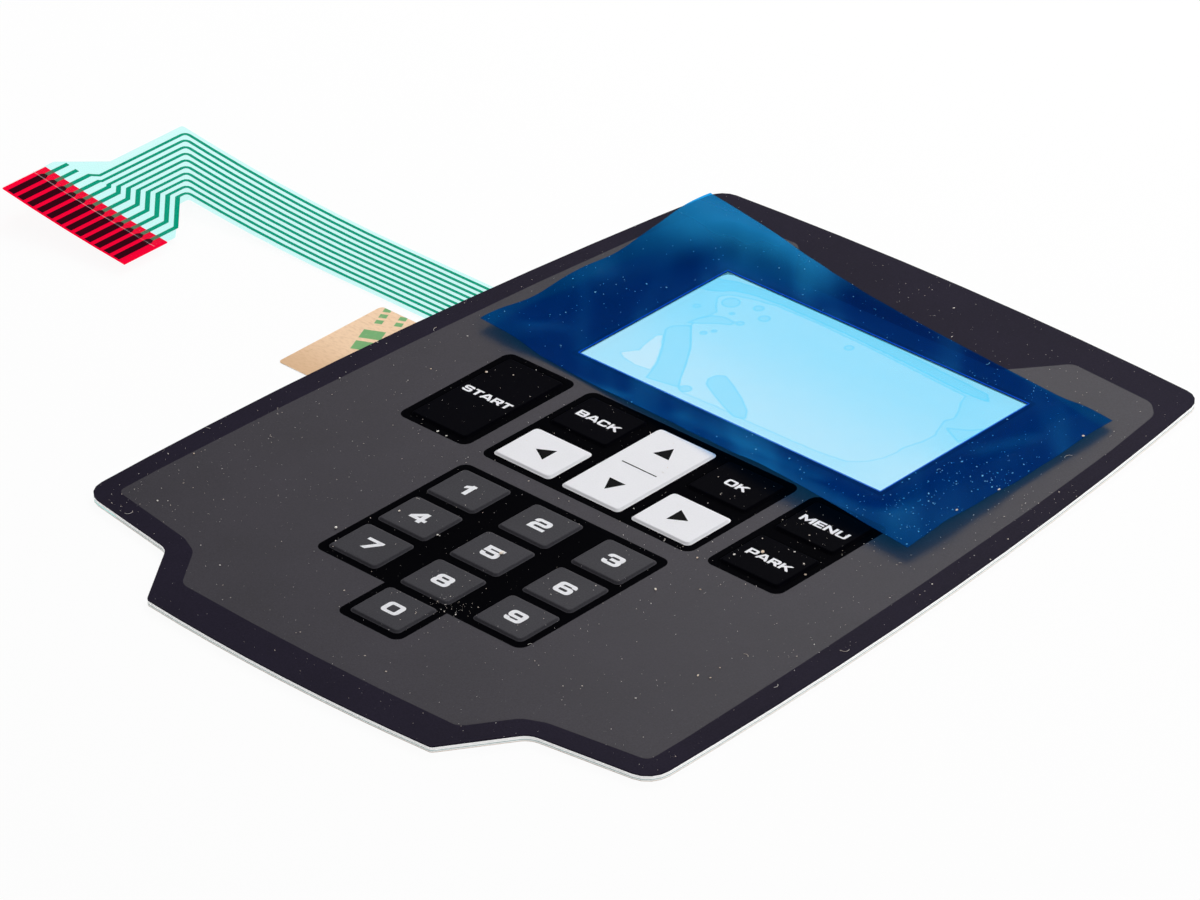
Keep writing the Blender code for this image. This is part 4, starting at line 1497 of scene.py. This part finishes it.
@dataclass
class ProtectiveFilm:
    """Blue film stuck on the window, with wavy edges and one corner that have come away."""

    face_z: float
    under: BVHTree
    lower_left: Point = (-55.0 * MM, 17.9 * MM)
    lower_right: Point = (52.3 * MM, 10.4 * MM)
    upper_right: Point = (50.9 * MM, 64.3 * MM)
    upper_left: Point = (-51.9 * MM, 73.7 * MM)
    thickness: float = 0.08 * MM
    seat_gap: float = 0.02 * MM
    window_half: Point = (WINDOW_SIZE[0] * MM / 2, WINDOW_SIZE[1] * MM / 2)
    window_y: float = WINDOW_Y * MM
    stuck_margin: float = 1.5 * MM
    lift_run: float = 9.0 * MM
    # Where the film has come away: place along and up it, spread each way, and height.
    lifts: tuple[tuple[float, float, float, float, float], ...] = (
        (0.00, 0.93, 0.27, 0.27, 4.2 * MM),
        (0.00, 0.42, 0.16, 0.17, 1.4 * MM),
        (0.00, 0.04, 0.20, 0.14, 1.4 * MM),
        (0.42, 0.00, 0.12, 0.20, 0.9 * MM),
        (0.70, 0.00, 0.20, 0.22, 2.2 * MM),
        (1.00, 0.18, 0.22, 0.35, 1.5 * MM),
        (1.00, 0.92, 0.20, 0.40, 1.0 * MM),
    )
    ripple: float = 0.28 * MM
    ripple_length: float = 7.0 * MM
    columns: int = 220
    rows: int = 112

    def height_at(self, u: float, v: float, x: float, y: float) -> float:
        """Height of the film over the face.

        Args:
            u: Place along the film, 0 to 1.
            v: Place up the film, 0 to 1.
            x: Place across the keypad.
            y: Place up the keypad.

        Returns:
            The height.
        """
        away = math.hypot(max(abs(x) - self.window_half[0] - self.stuck_margin, 0),
                          max(abs(y - self.window_y) - self.window_half[1] - self.stuck_margin, 0))
        free = smooth(min(away / self.lift_run, 1.0))
        loose = sum(height * math.exp(-((u - centre_u) / spread_u) ** 2 - ((v - centre_v) / spread_v) ** 2)
                    for centre_u, centre_v, spread_u, spread_v, height in self.lifts)
        waves = noise.noise(Vector((x / self.ripple_length, y / self.ripple_length, 3.0)))
        return free * (loose + self.ripple * (waves + 0.6) * min(1.0, loose / (0.8 * MM)))

    def build(self) -> Object:
        """Make the film and put it in the place of its solid.

        Returns:
            The film.
        """
        shape = bmesh.new()
        bmesh.ops.create_grid(shape, x_segments=self.columns, y_segments=self.rows, size=0.5)
        layers = {air.name: shape.verts.layers.float.new(air.name) for air in AIR_SHAPES}
        corners = (self.lower_left, self.lower_right, self.upper_right, self.upper_left)
        low_left, low_right, high_right, high_left = (Vector(corner) for corner in corners)
        for vertex in shape.verts:
            u, v = vertex.co.x + 0.5, vertex.co.y + 0.5
            x, y = low_left.lerp(low_right, u).lerp(high_left.lerp(high_right, u), v)
            z = self.face_z + self.height_at(u, v, x, y)
            below = self.under.ray_cast(Vector((x, y, 1.0)), Vector((0, 0, -1)))[0]
            vertex.co = (x, y, max(z, below.z if below else z) + self.seat_gap)
            beyond = max(abs(x) - self.window_half[0], abs(y - self.window_y) - self.window_half[1])
            for air in AIR_SHAPES:
                vertex[layers[air.name]] = air.distance(x / MM, y / MM) if beyond < MM else FAR
        sheet = mesh_of(shape, "window_film_sheet")
        solid = sheet_with_thickness(sheet, self.thickness, 1)
        piece = link("window_film", solid, [BlueFilm().material()])
        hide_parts("protective_film")
        return piece


@dataclass
class Dust:
    """White dust and lint that lie on the face and on the blue film."""

    surfaces: Sequence[Object]
    seed: int = 11
    specks: int = 900
    # Denser dust: place across and up, spread, and number of specks.
    clusters: tuple[tuple[float, float, float, int], ...] = (
        (5.8, -51.3, 2.4, 60), (-2.0, -44.0, 9.0, 22), (-56.0, 20.0, 7.0, 22), (-50.0, -20.0, 10.0, 20),
        (50.0, 10.0, 7.0, 24), (20.0, -11.0, 6.0, 34), (-20.0, 79.0, 9.0, 22), (20.0, 79.0, 14.0, 34),
        (56.0, 34.0, 4.0, 26), (-36.0, -38.0, 5.0, 16), (8.0, 66.0, 12.0, 26), (-40.0, 66.0, 6.0, 14),
        (36.0, 6.0, 6.0, 26), (60.0, -20.0, 5.0, 18), (-30.0, -56.0, 12.0, 20), (-57.0, -46.0, 8.0, 70),
        (-58.0, -66.0, 5.0, 40), (46.0, 36.0, 8.0, 150), (44.0, 17.0, 6.0, 70), (30.0, 63.0, 6.0, 40),
        (0.0, 67.0, 12.0, 40), (-46.0, 40.0, 6.0, 40),
    )
    # Larger chips: place across and up, and radius.
    chips: tuple[tuple[float, float, float], ...] = (
        (-25.6, -46.0, 0.34), (1.5, -33.8, 0.40), (-42.3, 6.6, 0.28), (-11.1, -36.4, 0.26),
        (-54.7, -59.8, 0.20), (-61.3, -45.2, 0.22), (-60.7, -11.1, 0.22), (-50.9, 1.5, 0.16),
        (-35.0, -12.6, 0.18), (-38.1, 9.0, 0.16), (26.6, -13.1, 0.20), (28.1, -24.7, 0.24),
        (33.7, -19.9, 0.16), (43.7, -5.2, 0.26), (30.9, -8.7, 0.20), (34.0, -5.1, 0.36),
        (51.1, 24.1, 0.26), (51.6, 34.2, 0.26), (50.9, 56.7, 0.24), (51.2, -39.0, 0.18),
        (53.2, -38.2, 0.18), (52.3, -35.0, 0.14), (-21.0, -35.6, 0.24),
    )
    fibres: int = 26
    face_radius: float = 0.032
    film_radius: float = 0.044
    largest_radius: float = 0.16
    radius_spread: float = 0.60
    fibre_radius: float = 0.035 * MM
    clean_half: Point = (36.0, 19.5)

    def build(self) -> list[Object]:
        """Scatter the dust, except on the window.

        Returns:
            What lies on the face, what lies on the blue film and shows pale blue, and the larger chips.
        """
        chance = random.Random(self.seed)
        graph = bpy.context.evaluated_depsgraph_get()
        self.face, self.film = (BVHTree.FromObject(surface, graph) for surface in self.surfaces)
        on_face, on_film, chips = bmesh.new(), bmesh.new(), bmesh.new()
        places = [(chance.uniform(-66, 66), chance.uniform(-83, 83)) for _ in range(self.specks)]
        for x, y, spread, count in self.clusters:
            places += [(chance.gauss(x, spread), chance.gauss(y, spread)) for _ in range(count)]
        for index, (x, y) in enumerate(places):
            hit, filmed = self.ground(x, y)
            if hit is None or abs(x) < self.clean_half[0] and abs(y - WINDOW_Y) < self.clean_half[1]:
                continue
            shape = on_film if filmed else on_face
            if index % max(len(places) // self.fibres, 1) == 0:
                self.fibre(shape, hit, chance)
            else:
                radius = self.film_radius if filmed else self.face_radius
                radius *= math.exp(abs(chance.gauss(0, self.radius_spread)))
                self.speck(shape, hit, min(radius, self.largest_radius), chance)
        for x, y, size in self.chips:
            self.speck(chips, self.ground(x, y)[0], size, chance)
        white = Lint("dust_white", shade(240, 236, 232), shade(232, 218, 206)).material()
        blue = Lint("dust_blue", shade(54, 168, 230), shade(140, 216, 250)).material()
        tan = Lint("dust_chips", shade(252, 247, 240), shade(246, 222, 198)).material()
        return [link("face_dust", mesh_of(on_face, "face_dust"), [white]),
                link("film_dust", mesh_of(on_film, "film_dust"), [blue]),
                link("chips", mesh_of(chips, "chips"), [tan])]

    def ground(self, x: float, y: float) -> tuple[Optional[Vector], bool]:
        """What lies under a place.

        Args:
            x: Place across, in millimetres.
            y: Place up, in millimetres.

        Returns:
            The point there, if any, and whether it is on the blue film.
        """
        start = Vector((x * MM, y * MM, 1.0))
        film_hit = self.film.ray_cast(start, Vector((0, 0, -1)))[0]
        return film_hit or self.face.ray_cast(start, Vector((0, 0, -1)))[0], film_hit is not None

    def speck(self, shape: BMesh, place: Vector, radius: float, chance: random.Random) -> None:
        """Add one flattened grain.

        Args:
            shape: Where it is made.
            place: Where it lies.
            radius: About its radius, in millimetres.
            chance: Source of the random draws.
        """
        verts = bmesh.ops.create_icosphere(shape, subdivisions=1, radius=1.0)["verts"]
        size = radius * MM
        stretch = (size * chance.uniform(0.7, 1.7), size * chance.uniform(0.6, 1.1), size * 0.5)
        bmesh.ops.scale(shape, vec=stretch, verts=verts)
        turned = Matrix.Rotation(chance.uniform(0, math.pi), 4, "Z")
        seat = Matrix.Translation(place + Vector((0, 0, size * 0.5)))
        bmesh.ops.transform(shape, matrix=seat @ turned, verts=verts)

    def fibre(self, shape: BMesh, place: Vector, chance: random.Random) -> None:
        """Add one short curved hair.

        Args:
            shape: Where it is made.
            place: Where it lies.
            chance: Source of the random draws.
        """
        count = len(shape.verts)
        verts = bmesh.ops.create_circle(shape, cap_ends=True, segments=5, radius=self.fibre_radius)["verts"]
        face = verts[0].link_faces[0]
        bend = chance.uniform(0.3, 0.9) * MM
        upright = Matrix.Translation((bend, 0, 0)) @ Matrix.Rotation(math.pi / 2, 4, "X")
        bmesh.ops.transform(shape, matrix=upright, verts=verts)
        bmesh.ops.spin(shape, geom=[face], cent=(0, 0, 0), axis=(0, 0, 1), angle=chance.uniform(0.7, 2.6),
                       steps=8)
        shape.verts.ensure_lookup_table()
        turned = Matrix.Rotation(chance.uniform(0, 2 * math.pi), 4, "Z")
        seat = Matrix.Translation(place + Vector((0, 0, 0.05 * MM)))
        back = Matrix.Translation((-bend, 0, 0))
        bmesh.ops.transform(shape, matrix=seat @ turned @ back, verts=shape.verts[count:])


@dataclass
class Laminate:
    """The films that stay as their solids are, each with its finish."""

    # Heights on the tail where one finish ends, in millimetres.
    stiffener_top: float = 1.9
    contact_top: float = 0.1
    cover_end: float = -1.2

    def finishes(self) -> dict[str, Material]:
        """Make the materials.

        Returns:
            The material of each solid, by the start of its name.
        """
        return {
            "release_liner": KraftPaper().material(),
            "rear_adhesive": Adhesive().material(),
            "overlay_adhesive": Adhesive().material(),
            "circuit_film": TailFilm(self.stiffener_top).material(),
            "conductor_": ConductorInk(self.stiffener_top, self.contact_top).material(),
            "tail_cover": ClearFilm("tail_cover", self.cover_end).material(),
            "tail_stiffener": RedFilm().material(),
            "dome_spacer": Adhesive().material(),
            "dome_": SpringSteel().material(),
        }

    def dress(self) -> None:
        """Give each solid its material."""
        finishes = self.finishes()
        for name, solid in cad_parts.items():
            start = next((start for start in finishes if name.startswith(start)), None)
            if start is None:
                continue
            for slot in solid.material_slots:
                slot.material = finishes[start]
            LOG.info("%s: %s", name, finishes[start].name)


@dataclass
class Studio:
    """Camera, soft lights and a plain white floor."""

    look_at: Sequence[float] = (-9.72 * MM, 1.26 * MM, 1.23 * MM)
    forward: Sequence[float] = (-0.607, 0.6035, -0.5168)
    distance: float = 1164.2 * MM
    roll: float = -0.0384
    lens: float = 205.07
    floor_size: float = 8.0
    daylight: float = 0.27
    floor_white: float = 0.93
    # Each lamp's name, place, width and power in watts.
    lamps: tuple[tuple[str, tuple[float, float, float], float, float], ...] = (
        ("back_light", (-0.3, 1.45, 1.2), 1.3, 4.0),
        ("sheen_light", (-0.305, 0.51, 0.39), 0.3, 2.9),
        ("side_light", (0.62, 0.25, 0.5), 0.5, 2.3),
        ("front_light", (0.1, -1.5, 1.2), 1.4, 3.4),
    )

    def build(self) -> None:
        """Set up the whole studio."""
        bpy.context.scene.view_settings.view_transform = "Standard"
        self.camera()
        self.floor()
        self.world()
        for name, place, size, power in self.lamps:
            self.lamp(name, place, size, power)

    def camera(self) -> None:
        """Camera at the photograph's place."""
        lens = bpy.data.cameras.new("camera")
        lens.lens = self.lens
        lens.sensor_width = 36.0
        lens.clip_start = 0.05
        camera = bpy.data.objects.new("camera", lens)
        bpy.context.scene.collection.objects.link(camera)
        ahead = Vector(self.forward).normalized()
        right = ahead.cross(Vector((0, 0, 1))).normalized()
        down = ahead.cross(right)
        tilt = (right * math.cos(self.roll) - down * math.sin(self.roll)).normalized()
        up = -(right * math.sin(self.roll) + down * math.cos(self.roll)).normalized()
        turn = Matrix((tilt, up, -ahead)).transposed()
        eye = Vector(self.look_at) - ahead * self.distance
        camera.matrix_world = Matrix.Translation(eye) @ turn.to_4x4()
        bpy.context.scene.camera = camera

    def floor(self) -> None:
        """Plain floor just below the liner."""
        shape = bmesh.new()
        bmesh.ops.create_grid(shape, x_segments=1, y_segments=1, size=self.floor_size / 2)
        bmesh.ops.translate(shape, vec=(0, 0, -0.05 * MM), verts=shape.verts)
        floor = bpy.data.objects.new("floor", mesh_of(shape, "floor"))
        bpy.context.scene.collection.objects.link(floor)
        paint = Paint("floor")
        plain = paint.node("ShaderNodeBsdfDiffuse", {}, {0: (0.95, 0.95, 0.95)}).outputs[0]
        white = paint.node("ShaderNodeEmission", {}, {0: (1, 1, 1), 1: 1.0}).outputs[0]
        surface = paint.between(plain, white, paint.seen() * self.floor_white)
        floor.data.materials.append(paint.finish(surface))

    def world(self) -> None:
        """White surroundings for the eye, softer for the light that they give."""
        paint = Paint("studio", bpy.data.worlds)
        level = paint.seen() * (1 - self.daylight) + self.daylight
        light = paint.node("ShaderNodeBackground", {}, {"Color": (1, 1, 1), "Strength": level}).outputs[0]
        paint.node("ShaderNodeOutputWorld", {}, {"Surface": light})
        bpy.context.scene.world = paint.owner

    def lamp(self, name: str, place: Sequence[float], size: float, power: float) -> None:
        """Square soft light that faces the keypad.

        Args:
            name: Its name.
            place: Its place.
            size: Its width.
            power: Its power in watts.
        """
        data = bpy.data.lights.new(name, "AREA")
        data.size = size
        data.energy = power
        lamp = bpy.data.objects.new(name, data)
        bpy.context.scene.collection.objects.link(lamp)
        lamp.location = place
        lamp.rotation_mode = "QUATERNION"
        lamp.rotation_quaternion = (-Vector(place)).to_track_quat("-Z", "Y")


def main() -> None:
    """Build the studio, then the keypad from its liner up."""
    logging.basicConfig(level=logging.INFO, format="%(name)s: %(message)s")
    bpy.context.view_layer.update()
    Studio().build()
    Laminate().dress()
    layout = KeyLayout()
    overlay = GraphicOverlay(layout)
    face = overlay.build()
    Legends(layout, overlay.face_z + overlay.height).build()
    graph = bpy.context.evaluated_depsgraph_get()
    film = ProtectiveFilm(overlay.face_z, BVHTree.FromObject(face, graph)).build()
    Dust((face, film)).build()


if __name__ == "__main__":
    main()
